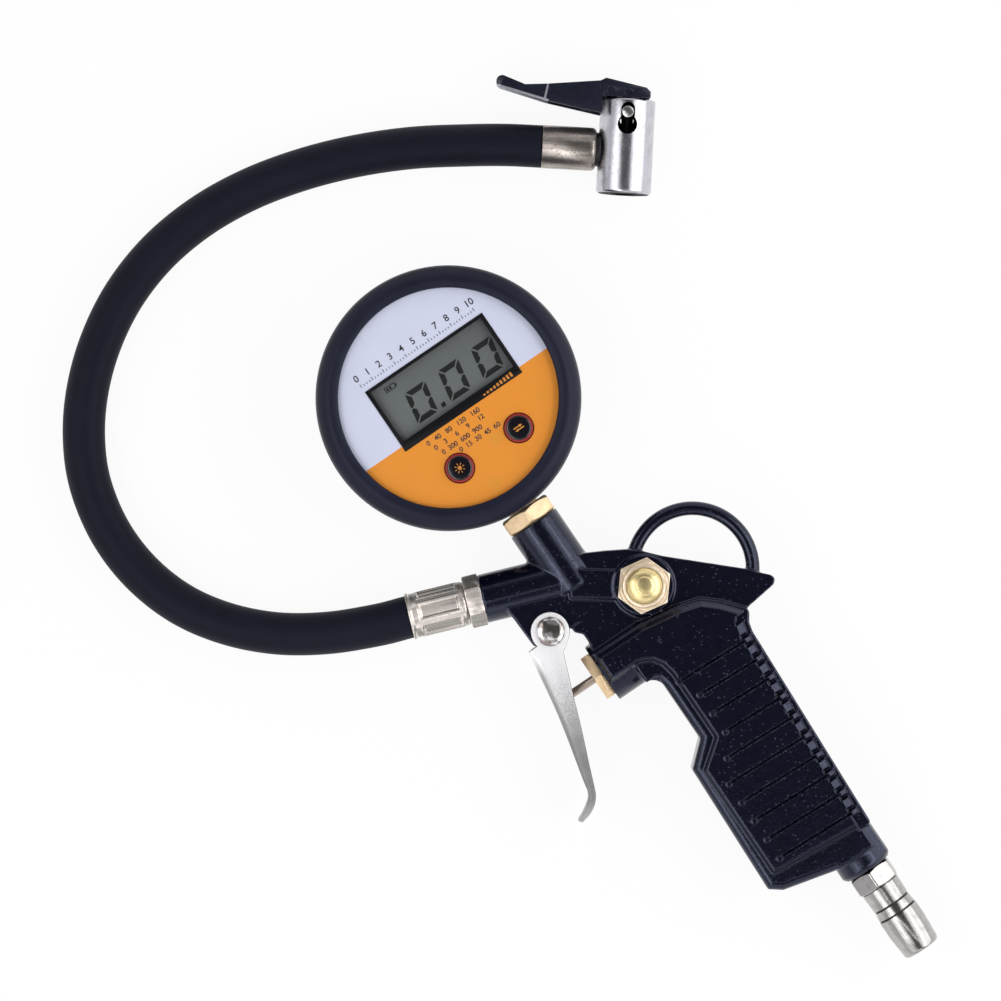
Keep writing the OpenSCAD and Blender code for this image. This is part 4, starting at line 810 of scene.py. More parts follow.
def turned(section, sides=96, closed=True):
    """Mesh of a section of (radius, height) turned about z; the section may be a function of the angle."""
    bm = bmesh.new()
    columns = []
    for k in range(sides):
        a = 2 * math.pi * k / sides
        column = section(a) if callable(section) else section
        columns.append([bm.verts.new((r * math.cos(a), r * math.sin(a), h)) for r, h in column])
        if closed:
            columns[-1].append(columns[-1][0])
    for here, there in ring_pairs(columns):
        for (a, b), (c, d) in zip(zip(here, here[1:]), zip(there, there[1:])):
            bm.faces.new((a, c, d, b))
    bmesh.ops.remove_doubles(bm, verts=bm.verts, dist=1e-4)
    return bm


def hexagon_rim(angle, flats, low, high, chamfer):
    """Outer side of a hexagonal nut at one angle, whose chamfers cut its corners in arcs."""
    corner = flats / 2 / math.cos(math.pi / 6)
    reach = flats / 2 / math.cos((angle + math.pi / 6) % (math.pi / 3) - math.pi / 6)
    reach = min(reach, corner - 0.12)
    waist = flats / 2 - chamfer
    drop = (reach - waist) * 0.55
    soft = 0.12
    return [
        (waist, low), (reach - soft, low + drop - soft / 2), (reach, low + drop + soft),
        (reach, high - drop - soft), (reach - soft, high - drop + soft / 2), (waist, high),
    ]


def stacked(bm, rings):
    """Adds the faces of a solid whose rings of points lie over one another."""
    bm.faces.new(rings[0][::-1])
    bm.faces.new(rings[-1])
    for here, there in zip(rings, rings[1:]):
        for (a, b), (c, d) in zip(ring_pairs(here), ring_pairs(there)):
            bm.faces.new((a, b, d, c))
    return bm


def prism(low, high, *outlines):
    """Solid between two heights over each outline."""
    bm = bmesh.new()
    for outline in outlines:
        stacked(bm, [[bm.verts.new((x, y, z)) for x, y in outline] for z in (low, high)])
    return bm


def in_row(bm):
    """Takes a mesh from millimetres of the source to metres of the row frame."""
    for v in bm.verts:
        v.co = row(v.co)
    return bm


def plates(z, thickness, *outlines):
    """Thin flat shapes lying over z, in the row frame, from outlines in millimetres of the source."""
    return in_row(prism(z, z + thickness, *outlines))


def pillow(outline, low, high, radius, steps):
    """Solid over a counterclockwise outline whose upper and lower edges are rounded; radius gives each point's."""
    bm = bmesh.new()
    points = [Vector(p) for p in outline]
    inward = []
    for before, here, after in zip(points[-1:] + points, points, points[1:] + points[:1]):
        sides = [Vector((-w.y, w.x)).normalized() for w in (here - before, after - here)]
        both = (sides[0] + sides[1]).normalized()
        inward.append(both / max(0.6, both.dot(sides[0])))
    turns = [math.pi / 2 * k / steps for k in range(steps + 1)]
    rings = []
    for sign, z, t in [(-1, low, t) for t in reversed(turns)] + [(1, high, t) for t in turns]:
        back, down = 1 - math.cos(t), 1 - math.sin(t)
        rings.append([
            bm.verts.new((*(p + way * r * back), z - sign * r * down)) for p, way, r in zip(points, inward, radius)
        ])
    return stacked(bm, rings)


def swept(path, radius, sides):
    """Tube along path with a UV map: once round it, and its length over its diameter along it."""
    bm = bmesh.new()
    uv = bm.loops.layers.uv.new("UVMap")
    angles = [2 * math.pi * k / sides for k in range(sides)]
    rings, run = [], [0.0]
    for i, p in enumerate(path):
        way = (path[min(i + 1, len(path) - 1)] - path[max(i - 1, 0)]).normalized()
        side = UP.cross(way).normalized()
        up = way.cross(side)
        rings.append([bm.verts.new(p + radius * (math.cos(a) * side + math.sin(a) * up)) for a in angles])
        if i:
            run.append(run[-1] + (p - path[i - 1]).length / (2 * radius))
    for i, (low, high) in enumerate(zip(rings, rings[1:])):
        for k in range(sides):
            m = (k + 1) % sides
            face = bm.faces.new((low[k], high[k], high[m], low[m]))
            for loop, (u, v) in zip(face.loops, ((k, i), (k, i + 1), (k + 1, i + 1), (k + 1, i))):
                loop[uv].uv = (u / sides, run[v])
    bm.faces.new(rings[0])
    bm.faces.new(rings[-1][::-1])
    return bm, run[-1] * 2 * radius


def mesh_of(name, bm):
    mesh = bpy.data.meshes.new(name)
    bm.to_mesh(mesh)
    bm.free()
    return mesh


def linked(name, data):
    obj = bpy.data.objects.new(name, data)
    bpy.context.scene.collection.objects.link(obj)
    return obj


def meshed(name, bm):
    """A new object of the mesh, whose faces are made to look outwards."""
    bmesh.ops.recalc_face_normals(bm, faces=bm.faces)
    return linked(name, mesh_of(name, bm))


def drop(obj):
    mesh = obj.data
    bpy.data.objects.remove(obj)
    bpy.data.meshes.remove(mesh)


def apply_modifiers(obj):
    """Keeps the evaluated mesh and drops the modifiers."""
    made = bpy.data.meshes.new_from_object(obj.evaluated_get(bpy.context.evaluated_depsgraph_get()))
    obj.modifiers.clear()
    old, obj.data = obj.data, made
    bpy.data.meshes.remove(old)


def combined(bm, *others, operation="DIFFERENCE"):
    """The solid bm without the others, or joined with them."""
    base = meshed("temporary", bm)
    for other in (meshed("temporary", other) for other in others):
        step = base.modifiers.new("step", "BOOLEAN")
        step.operation, step.solver, step.object = operation, "EXACT", other
        apply_modifiers(base)
        drop(other)
    out = bmesh.new()
    out.from_mesh(base.data)
    drop(base)
    return out


def solid_of(node):
    """A clean copy of a CAD node's mesh, its flat faces whole."""
    bm = bmesh.new()
    bm.from_mesh(NODES[node].data)
    bmesh.ops.remove_doubles(bm, verts=bm.verts, dist=2e-6)
    bmesh.ops.dissolve_limit(bm, angle_limit=math.radians(0.4), verts=bm.verts, edges=bm.edges)
    return bm


def in_source(points):
    """Rows of metres of the row frame, as rows of millimetres of the source."""
    return points / MM - np.array(BLEED_AXIS)


def reshaped(obj, change):
    """Moves the mesh's points by a function of their places, which are rows of millimetres of the source."""
    mesh = obj.data
    flat = np.empty(len(mesh.vertices) * 3, dtype=np.float32)
    mesh.vertices.foreach_get("co", flat)
    points = in_source(flat.reshape(-1, 3))
    change(points)
    mesh.vertices.foreach_set("co", ((points + np.array(BLEED_AXIS)) * MM).astype(np.float32).ravel())
    mesh.update()


def finer(obj, chosen):
    """Divides the faces whose middles, rows of millimetres of the source, are chosen."""
    bm = bmesh.new()
    bm.from_mesh(obj.data)
    wanted = chosen(in_source(np.array([f.calc_center_median() for f in bm.faces])))
    edges = {e for f, use in zip(bm.faces, wanted) if use for e in f.edges}
    bmesh.ops.subdivide_edges(bm, edges=list(edges), cuts=1, use_grid_fill=True)
    bm.to_mesh(obj.data)
    bm.free()


def ramp(value, low, high):
    return np.clip((value - low) / (high - low), 0, 1)


def beside(points, line):
    """For each point, its distance inside a line that is walked with the inside on its left, and the way inside."""
    best = np.full(len(points), 1e9)
    inside = np.zeros((len(points), 2))
    for a, b in zip(line, line[1:]):
        a, b = np.array(a, float), np.array(b, float)
        way = (b - a) / np.linalg.norm(b - a)
        left = np.array((-way[1], way[0]))
        from_a = points[:, :2] - a
        run = np.clip(from_a @ way, 0, np.linalg.norm(b - a))
        away = from_a - run[:, None] * way
        reach = np.linalg.norm(away, axis=1) * np.where(away @ left < 0, -1, 1)
        nearer = np.abs(reach) < np.abs(best)
        best[nearer] = reach[nearer]
        inside[nearer] = left
    return best, inside


def groove_start(y):
    """Left end of the groove at height y."""
    if y > GROOVE_FIRST - 1:
        return -7.6
    return -4.6 if y > -52 else -8.6 if y > -59 else -12.5


def grooves_at(points):
    """For each point, its height over the nearest groove's line, and how far it is past the groove's left end."""
    over, past = np.full(len(points), 1e9), np.zeros(len(points))
    for k in range(GROOVE_COUNT):
        y = GROOVE_FIRST - k * GROOVE_PITCH
        at = points[:, :2] - np.array((groove_start(y), y))
        along, across = at @ GROOVE_WAY, at @ np.array((-GROOVE_WAY[1], GROOVE_WAY[0]))
        nearer = np.abs(across) < np.abs(over)
        over[nearer], past[nearer] = across[nearer], along[nearer]
    return over, past


def within(values, low, high=np.inf):
    return (values > low) & (values < high)


def levels(points):
    """For each point, the side of the gun that it is on, and how high it is over the gun's middle."""
    return np.sign(points[:, 2] - Z_MID), np.abs(points[:, 2] - Z_MID)


def raise_to(points, use, side, high):
    """Gives the chosen points a height over the gun's middle."""
    points[:, 2] = np.where(use, Z_MID + side * high, points[:, 2])


# ---- Pieces ----


def smooth(obj, sharp):
    obj.data.shade_smooth()
    obj.data.set_sharp_from_angle(angle=math.radians(sharp))


def piece(name, bm, finish, body, stands_for=None, sharp=50):
    """Makes a piece of a mesh, which rides on a CAD body and may stand for a CAD node."""
    obj = meshed(name, bm)
    obj.data.materials.append(finish)
    smooth(obj, sharp)
    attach(obj, body)
    if stands_for:
        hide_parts(stands_for)
    return obj


def own_piece(name, bm, finish, node, place=None, sharp=50):
    """A piece made here that stands for a CAD node, on its body and with its material slot."""
    if place:
        bm.transform(place)
    STANDS_FOR[node] = obj = piece(name, bm, finish, BODY_OF[node], node, sharp)
    return obj


def edged(name, node, finish, width=None, angle=32, segments=2):
    """The CAD node's own shape with its edges broken, as a machined or pressed piece has them."""
    obj = own_piece(name, solid_of(node), finish, node)
    bevel = obj.modifiers.new("edges", "BEVEL")
    bevel.width = width or bpy.context.scene.inflator_metal.edge
    bevel.segments = segments
    bevel.limit_method = "ANGLE"
    bevel.angle_limit = math.radians(angle)
    bevel.miter_outer = "MITER_ARC"
    weighted = obj.modifiers.new("normals", "WEIGHTED_NORMAL")
    weighted.keep_sharp = False
    apply_modifiers(obj)
    smooth(obj, 60)


def coil(name, node, joint):
    """A coil spring of the CAD node's own shape, with a mesh of its own; the joint's travel is measured against its
    length, but nothing shortens it.
    """
    obj = own_piece(name, solid_of(node), simple("spring_wire"), node)
    move = next(j for j in BEHAVIOUR["joints"] if j["name"] == joint)
    axis = Vector(move["axis"]).normalized()
    low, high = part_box(node)
    middle = (low + high) / 2
    reach = [(v.co - middle).dot(axis) for v in obj.data.vertices]
    keep = 1 - move["range_m"][1] / (max(reach) - min(reach))
    tuple(middle + max(reach) * axis)
    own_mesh(obj)


def dress(finish, *nodes):
    """Gives CAD nodes that keep their own shape a finish."""
    for node in nodes:
        NODES[node].data.materials.clear()
        NODES[node].data.materials.append(finish)


# ---- Operators ----


class INFLATOR_OT_studio(bpy.types.Operator):
    """Sets up the camera, the floor, the lamps and the light from all round."""

    bl_idname = "inflator.studio"
    bl_label = "Studio"

    def execute(self, context):
        look = context.scene.inflator_studio
        middle = row(VIEW_MIDDLE)
        right = Vector((math.cos(look.camera_turn), math.sin(look.camera_turn), 0))
        up = Vector((-right.y, right.x, 0))
        camera = linked("camera", bpy.data.cameras.new("camera"))
        camera.data.sensor_width = SENSOR
        camera.data.lens = SENSOR * look.camera_height / look.frame_width
        camera.data.clip_start = 0.05
        camera.location = middle + look.camera_height * UP
        camera.rotation_euler = (0, 0, look.camera_turn)
        context.scene.camera = camera
        self.floor(look)
        for name, ((aside, upward), lean, size, radiance) in LAMPS.items():
            side = right * aside + up * upward
            way = side * math.sin(math.radians(lean)) + UP * math.cos(math.radians(lean))
            self.lamp(name, middle, way, size, radiance * look.lamps)
        self.surroundings(look)
        context.scene.view_settings.view_transform = "Standard"
        return {"FINISHED"}

    def lamp(self, name, middle, way, size, radiance):
        data = bpy.data.lights.new(name, "AREA")
        data.shape, data.size, data.size_y = "RECTANGLE", *size
        data.energy = radiance * math.pi * size[0] * size[1]
        obj = linked(name, data)
        obj.location = middle + way.normalized() * LAMP_AWAY
        obj.rotation_euler = way.to_track_quat("Z", "Y").to_euler()
        obj.visible_camera = False

    def floor(self, look):
        """White paper, which glows for the camera and in mirrors so that it stays white, and still takes shadows."""
        bm = bmesh.new()
        bmesh.ops.create_circle(bm, cap_ends=True, segments=96, radius=4)
        bm.transform(Matrix.Translation((0, 0, -0.0002)))
        sheet = linked("floor", mesh_of("floor", bm))
        f = Finish("floor_paper", base_color=look.floor, roughness=0.9, specular_ior_level=0.1)
        seen = rays = f.add("LightPath")
        for kind in ("Is Glossy Ray", "Is Transmission Ray"):
            seen = seen.most(Wire(f, rays.socket.node.outputs[kind]))
        glow = f.add("Emission", inputs={"Color": (1, 1, 1), "Strength": 1.0})
        inputs = {0: seen * look.floor_glow, 1: Wire(f, f.shader.outputs[0]), 2: glow}
        f.give(f.tree.nodes["Material Output"].inputs["Surface"], f.add("MixShader", inputs=inputs))
        sheet.data.materials.append(f.material)

    def surroundings(self, look):
        """A room that is bright all round and dark overhead."""
        world = bpy.data.worlds.new("surroundings")
        world.use_nodes = True
        sky = Nodes(world.node_tree)
        height = sky.part(sky.add("TexCoord", output="Generated"), "Z")
        overhead = tint((0.95, 0.95, 1.05), look.overhead)
        back = world.node_tree.nodes["Background"]
        sky.give(back.inputs["Color"], sky.mix(height.between(0.15, 0.92), (0.74, 0.74, 0.78), overhead))
        back.inputs["Strength"].default_value = look.ambient
        bpy.context.scene.world = world


class INFLATOR_OT_casting(bpy.types.Operator):
    """Makes the painted casting of the gun: one skin over the solid, filleted as in a mould, and its relief."""

    bl_idname = "inflator.casting"
    bl_label = "Casting"

    def execute(self, context):
        look = context.scene.inflator_casting
        obj = own_piece("gun_casting", solid_of("gun_body"), casting_paint(), "gun_body")
        remesh = obj.modifiers.new("skin", "REMESH")
        remesh.mode, remesh.voxel_size = "VOXEL", look.voxel
        fillets = obj.modifiers.new("fillets", "SMOOTH")
        fillets.factor, fillets.iterations = 0.5, look.fillet_steps
        apply_modifiers(obj)
        finer(obj, self.carved)
        self.row_step = look.voxel / MM / 2
        for change in (self.front_fillet, self.rear_band, self.foot, self.grooves):
            reshaped(obj, change)
        smooth(obj, 180)
        return {"FINISHED"}

    def carved(self, points):
        """The faces of the panels that carry the grooves and the rear band."""
        over, past = grooves_at(points)
        y, rear, high = points[:, 1], beside(points, GRIP_REAR)[0], levels(points)[1]
        groove = within(over, -1.3, 1.3) & within(past, -1.2) & within(rear, 0.3)
        return within(high, 9.3) & (groove | within(rear, 0.3, 4.9) & within(y, -99)) & (y < -22)

    def front_fillet(self, points):
        """Rounds the front rim of the grip by a large radius."""
        radius = 2.6
        inside, way = beside(points, GRIP_FRONT)
        side, high = levels(points)
        dx, dh = inside - radius, high - (RIM - radius)
        reach = np.hypot(dx, dh)
        near = within(inside, -0.6, radius) & within(high, RIM - radius, RIM + 0.4) & within(reach, radius)
        near &= points[:, 1] < -24.9
        pull = np.where(near, radius / np.maximum(reach, 1e-6), 1)
        points[:, :2] += way * (dx * (pull - 1))[:, None]
        raise_to(points, near, side, RIM - radius + dh * pull)

    def rear_band(self, points):
        """Slopes the rear edge of the panels in facets, long ones between the grooves and short ones at their ends."""
        y, rear = points[:, 1], beside(points, GRIP_REAR)[0]
        side, high = levels(points)
        away = np.abs(grooves_at(points)[0])
        start, width = (np.where(away > 1.4, *pair) for pair in (FACET_STARTS, FACET_WIDTHS))
        facet = PANEL - FACET_FALL * (start + width - rear)
        foot = PANEL - FACET_FALL * width
        step = RIM + (foot - RIM) * ramp(rear, start - 0.4, start)
        profile = np.where(rear > start, np.minimum(PANEL, facet), step)
        notch = RIM + 0.1 + (PANEL - RIM - 0.1) * ramp(rear, 4.05, 4.35)
        raised = np.maximum(ramp(away, 1.85, 2.15), ramp(away, 0.95, 0.65)) * ((y <= -25.8) & (y >= -93.5))
        use = within(high, 9.3) & within(rear, 0.45, 4.6) & within(y, -98.2, -23.5)
        raise_to(points, use, side, raised * profile + (1 - raised) * notch)

    def foot(self, points):
        """Flattens the rear of the inlet's boss into a slope."""
        side, high = levels(points)
        aside = points[:, 0] - INLET.x
        slope = 6.55 - 0.47 * (aside - 5.2)
        use = within(aside, 5.2, 7.7) & within(points[:, 1], -108.4, -98.6) & within(high, 2.4)
        raise_to(points, use, side, np.maximum(high, slope))

    def grooves(self, points):
        """Levels the panels and cuts the narrow grooves, with the rows of points drawn along them."""
        over, past = grooves_at(points)
        rear, below_top = beside(points, GRIP_REAR)[0], points[:, 1] < -26
        side, high = levels(points)
        ground = within(over, -1.4, 1.4) & within(past, -1.2) & within(rear, 4.6) & within(high, 10.3)
        raise_to(points, ground & below_top, side, PANEL)
        high = levels(points)[1]
        near = within(over, -1, 1) & within(past, -1) & within(rear, 3.4) & within(high, 9.6) & below_top
        snapped = np.round(over / self.row_step) * self.row_step
        shift = (snapped - over) * ramp(1.0 - np.abs(over), 0, 0.3) * near
        points[:, 0] -= shift * GROOVE_WAY[1]
        points[:, 1] += shift * GROOVE_WAY[0]
        over = over + shift
        half_width, depth = 0.46, 0.95
        cut = depth * np.clip(1 - np.hypot(over, np.minimum(past, 0)) / half_width, 0, 1) ** 0.8
        # The lip is a low ring round the groove's left end
        lip = 0.14 * np.exp(-(((np.hypot(over, past) - 0.75) / 0.25) ** 2))
        points[:, 2] += np.where(near, side * (lip - cut), 0)


class INFLATOR_OT_trigger(bpy.types.Operator):
    """Makes the stamped trigger, a sheet folded round a hollow, and its riveted pin."""

    bl_idname = "inflator.trigger"
    bl_label = "Trigger"

    def execute(self, context):
        front, back = ([tuple(p) for p in curve_through(line, 6)] for line in (BLADE_FRONT, BLADE_BACK))
        ear = arc(TRIGGER_PIVOT, TRIGGER_EAR, -54.4, 195.2, 48)
        # The fold of the front is as round as the blade's width lets it be
        bend = [min(2.2, 0.4 * min(math.dist(p, q) for q in back)) for p in front]
        bend[0] = 0.3
        radius = bend + [0.3] * (len(back) + len(ear))
        low, high = Z_MID - TRIGGER_HALF, Z_MID + TRIGGER_HALF
        left, top, right = BLADE_FRONT[0][0], BLADE_TOP + 0.15, -20
        inner = [(x + SHEET, y) for x, y in front if y > BLADE_FRONT[-3][1] + 1.5]
        hollow = [(left - 6, top), (left + SHEET, top), *inner[1:], (right, inner[-1][1]), (right, 14), (left - 6, 14)]
        bm = combined(pillow(front + back + ear, low, high, radius, 4), prism(low + SHEET, high - SHEET, hollow))
        own_piece("trigger_stamping", in_row(bm), stamped_steel(), "trigger_lever", sharp=40)
        r, reach = TRIGGER_RIVET, TRIGGER_HALF + 1.45
        head = [
            (0, reach), (2.5, reach - 0.02), (3.2, reach - 0.16), (3.8, reach - 0.42), (4.25, reach - 0.8),
            (r, reach - 1.2), (r, reach - 1.4), (2, reach - 1.4),
        ]
        section = head + [(x, -y) for x, y in reversed(head)]
        place = standing((*TRIGGER_PIVOT, Z_MID), UP)
        own_piece("trigger_rivet", turned(section, closed=False), rivet_steel(), "trigger_pin", place)
        return {"FINISHED"}


class INFLATOR_OT_valves(bpy.types.Operator):
    """Makes the visible pieces of the inflate valve and the bleed valve."""

    bl_idname = "inflator.valves"
    bl_label = "Valves"

    def execute(self, context):
        edged("valve_gland", "valve_cartridge", machined_brass("pale"), width=0.0003)
        low, high = source_box("valve_pin")
        run, r = high.x - low.x, (high.z - low.z) / 2
        pin = [(0, 0), (r * 0.5, 0.12), (r * 0.85, 0.5), (r, 1.1), (r, run), (0, run)]
        place = standing((low.x, (low.y + high.y) / 2, Z_MID), (1, 0, 0))
        own_piece("valve_rod", turned(pin, 48, closed=False), pin_steel(), "valve_pin", place, sharp=60)
        edged("bleed_hexagon", "bleed_body", machined_brass("rim"), width=0.0004)
        low, high = source_box("bleed_button")
        top, r = high.z, (high.x - low.x) / 2
        bottom = top - 5.3
        dome = [
            (r, bottom), (r, bottom + 2.9), (r - 0.7, bottom + 3.95), (r - 1.9, bottom + 4.6), (r - 2.6, bottom + 4.75),
            (r - 3.0, bottom + 5.05), (1.2, top - 0.04), (0, top),
        ]
        bm = turned([(0, bottom), *rounded(dome, 0.6)], closed=False)
        own_piece("bleed_dome", bm, machined_brass("yellow"), "bleed_button", standing((0, 0, 0), UP), sharp=60)
        return {"FINISHED"}


class INFLATOR_OT_nipple(bpy.types.Operator):
    """Makes the chrome inlet nipple: thread, hexagon, neck, groove lines and barrel."""

    bl_idname = "inflator.nipple"
    bl_label = "Inlet nipple"

    def execute(self, context):
        thread = [(3.2, 0), (4.85, 0), (4.85, 10)]
        barrel = [
            (6.25, 16.45), (6.05, 22.3), (5.75, 22.45), (5.7, 22.75), (5.95, 22.95), (6.3, 25.3), (6.3, 25.55),
            (6.05, 25.7), (6.05, 25.95), (6.45, 26.15), (6.5, 26.6), (6.5, 31), (6.25, 34.8), (5.95, 38.4),
            (5.75, 39.0), (5.35, 39.4), (4.3, 39.5), (3.2, 38.4),
        ]
        bm = turned(lambda angle: thread + hexagon_rim(angle, 13, 10, 16.4, 0.6) + barrel, 144)
        place = standing(INLET, (0, -1, 0), math.radians(5.7))
        own_piece("inlet_plug", bm, nipple_steel(), "inlet_nipple", place, sharp=30)
        return {"FINISHED"}


class INFLATOR_OT_stem(bpy.types.Operator):
    """Makes the brass stem of the gauge."""

    bl_idname = "inflator.stem"
    bl_label = "Gauge stem"

    def execute(self, context):
        thread, neck = [(1.6, 0), (4.85, 0), (4.85, 9)], [(5, 14.4), (5, 34.4), (1.6, 34.4)]
        bm = turned(lambda angle: thread + hexagon_rim(angle, 16, 9, 14.4, 0.7) + neck, 144)
        place = standing(STEM_FOOT, (0, 1, 0))
        own_piece("stem_hexagon", bm, machined_brass("pale"), "gauge_stem", place, sharp=30)
        return {"FINISHED"}


class INFLATOR_OT_boot(bpy.types.Operator):
    """Makes the rubber boot round the gauge."""

    bl_idname = "inflator.boot"
    bl_label = "Boot"

    def execute(self, context):
        low, high = source_box("gauge_boot")
        r, top, lip = (high.x - low.x) / 2, high.z, BOOT_LIP
        profile = rounded([
            (r - 5, 2.3), (lip + 0.3, 2.3), (lip + 0.3, 0), (r - 3, 0), (r - 0.9, 0.8), (r, 3.4), (r, top - 6.5),
            (r - 0.5, top - 3.4), (r - 2.1, top - 1.2), (r - 3.5, top - 0.25), (r - 4.6, top), (lip + 1.6, top - 0.1),
            (lip + 0.2, top - 0.5), (lip, top - 1.1), (lip, top - 2.4), (r - 5, top - 2.4),
        ], 1.2)
        own_piece("boot", turned(profile, 256), boot_rubber(), "gauge_boot", standing(GAUGE_AXIS, UP), sharp=70)
        return {"FINISHED"}


def numerals(name, text, x, y, size, finish, align="CENTER"):
    """Plain numbers printed on the gauge's face, at x and y from the gauge's centre."""
    data = bpy.data.curves.new(name, "FONT")
    data.body, data.size, data.align_x, data.align_y = text, size * MM * 1.35, align, "CENTER"
    data.extrude = 0.000012
    data.offset = 0.00004
    data.materials.append(finish)
    obj = linked(name, data)
    obj.location = row(GAUGE_AXIS + Vector((x, y, LABEL_TOP + 0.02)))
    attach(obj, "gun")


def on_gauge(*points):
    """An outline given from the gauge's centre, in millimetres of the source."""
    return [(x + GAUGE_AXIS.x, y + GAUGE_AXIS.y) for x, y in points]


def bar(x, y, w, h):
    """Outline of an upright bar, from its lower left corner measured from the gauge's centre."""
    return on_gauge((x, y), (x + w, y), (x + w, y + h), (x, y + h))


def digit(char, x, y, slant):
    """Outlines of the seven-segment shapes of one digit, leaning by slant."""
    w, h, t = DIGIT_SIZE
    half, gap = h / 2, 0.42
    flat = [(gap, 0), (w - gap, 0), (w - t - gap * 0.6, t), (t + gap * 0.6, t)]
    inner = (t, half - gap - t * 0.35)
    side = [(0, gap), (0, half - gap * 0.7), (t * 0.5, half - gap * 0.3), inner, (t, t + gap * 0.8)]
    shapes = {
        "a": [(px, h - py) for px, py in flat],
        "b": [(w - px, h - py) for px, py in side],
        "c": [(w - px, py) for px, py in side],
        "d": flat,
        "e": side,
        "f": [(px, h - py) for px, py in side],
        "g": [
            (gap, half), (t, half + t / 2), (w - t, half + t / 2), (w - gap, half), (w - t, half - t / 2),
            (t, half - t / 2),
        ],
    }
    lean = math.tan(slant)
    return [on_gauge(*((x + px + py * lean, y + py) for px, py in shapes[s])) for s in SEGMENTS.get(char, "")]


class INFLATOR_OT_face(bpy.types.Operator):
    """Prints the gauge's face: two colours, a row of plain numbers with ticks, and plain ranges."""

    bl_idname = "inflator.face"
    bl_label = "Face"

    def execute(self, context):
        dress(face_print(), "face_label")
        dress(simple("white_plastic"), "face_plate")
        dark = simple("dark_ink")
        for i in range(11):
            numerals(f"scale_number_{i}", str(i), SCALE_START + i * SCALE_STEP, 20.2, 2.2, dark)
        ticks = [
            bar(SCALE_START + i * SCALE_STEP / 4 - 0.11, 17.2, 0.22, 0.6 if i % 4 else 1.15) for i in range(41)
        ]
        piece("scale_ticks", plates(LABEL_TOP + 0.01, 0.02, *ticks), dark, "gun")
        for i, (start, line) in enumerate(RANGES):
            numerals(f"range_numbers_{i}", line, start, -8.0 - 2.35 * i, 1.6, dark, "LEFT")
        return {"FINISHED"}


class INFLATOR_OT_display(bpy.types.Operator):
    """Makes the display with its reading, the bezel and the window."""

    bl_idname = "inflator.display"
    bl_label = "Display"

    def execute(self, context):
        look = context.scene.inflator_gauge
        dress(display_face(), "lcd_module")
        dress(clear_window(), "lcd_window")
        edged("display_bezel", "lcd_bezel", simple("black_plastic"), width=0.00018, angle=40)
        x, y = -12.0, -1.5
        shapes = []
        for char in look.reading:
            if char == ".":
                shapes.append(on_gauge((x - 3.1, y), (x - 1.7, y), (x - 1.5, y + 1.4), (x - 2.9, y + 1.4)))
            else:
                shapes += digit(char, x, y, look.slant)
                x += DIGIT_STEP
        cell = [
            bar(*sizes) for sizes in (
                (-14.6, 11.6, 3.6, 0.25), (-14.6, 13.0, 3.6, 0.25), (-14.6, 11.6, 0.25, 1.6), (-11.2, 11.6, 0.25, 1.6),
                (-10.95, 12.05, 0.4, 0.7), (-14.1, 12.05, 0.7, 0.7), (-13.1, 12.05, 0.7, 0.7),
            )
        ]
        for name, outlines in (("reading", shapes), ("battery_sign", cell)):
            piece(name, plates(DISPLAY_TOP + 0.02, 0.04, *outlines), simple("display_ink"), "gun")
        level = [bar(9.2 + 1.25 * i, -5.55, 0.75, 0.5 + 0.13 * i) for i in range(9)]
        top = source_box("lcd_bezel")[1].z
        piece("level_print", plates(top + 0.005, 0.02, *level), simple("orange_ink"), "gun")
        return {"FINISHED"}


class INFLATOR_OT_keys(bpy.types.Operator):
    """Makes the two domed keys and the plain signs on them."""

    bl_idname = "inflator.keys"
    bl_label = "Keys"

    def execute(self, context):
        for node, sign in (("light_button", self.sun()), ("unit_button", self.arrows())):
            low, high = source_box(node)
            x, y = (low.x + high.x) / 2, (low.y + high.y) / 2
            r, base, top = (high.x - low.x) / 2 - 1, LABEL_TOP, high.z
            cap = rounded([
                (0, base - 3.3), (r + 1, base - 3.3), (r + 1, base - 2.2), (r, base - 2.2), (r, base + 0.4),
                (r - 0.62, base + 0.45), (r - 0.66, top - 0.35), (0, top),
            ], 0.5)
            bm = turned(cap, closed=False)
            own_piece(f"{node}_cap", bm, key_gloss(), node, standing((x, y, 0), UP), sharp=60)
            shapes = [[(x + px, y + py) for px, py in outline] for outline in sign]
            bm = plates(top - 0.02, 0.04, *shapes)
            piece(f"{node}_sign", bm, simple("orange_ink"), BODY_OF[node])
        return {"FINISHED"}

    def sun(self):
        rays = []
        for k in range(8):
            c, s = math.cos(k * math.pi / 4), math.sin(k * math.pi / 4)
            ray = ((0.95, -0.12), (1.6, -0.12), (1.6, 0.12), (0.95, 0.12))
            rays.append([(c * u - s * v, s * u + c * v) for u, v in ray])
        return [arc((0, 0), 0.62, 0, 337.5, 15), *rays]

    def arrows(self):
        one = [(-1.6, 0.25), (0.5, 0.25), (0.5, 0.0), (1.5, 0.45), (0.5, 0.9), (0.5, 0.65), (-1.6, 0.65)]
        return [one, [(-x, -y) for x, y in one]]


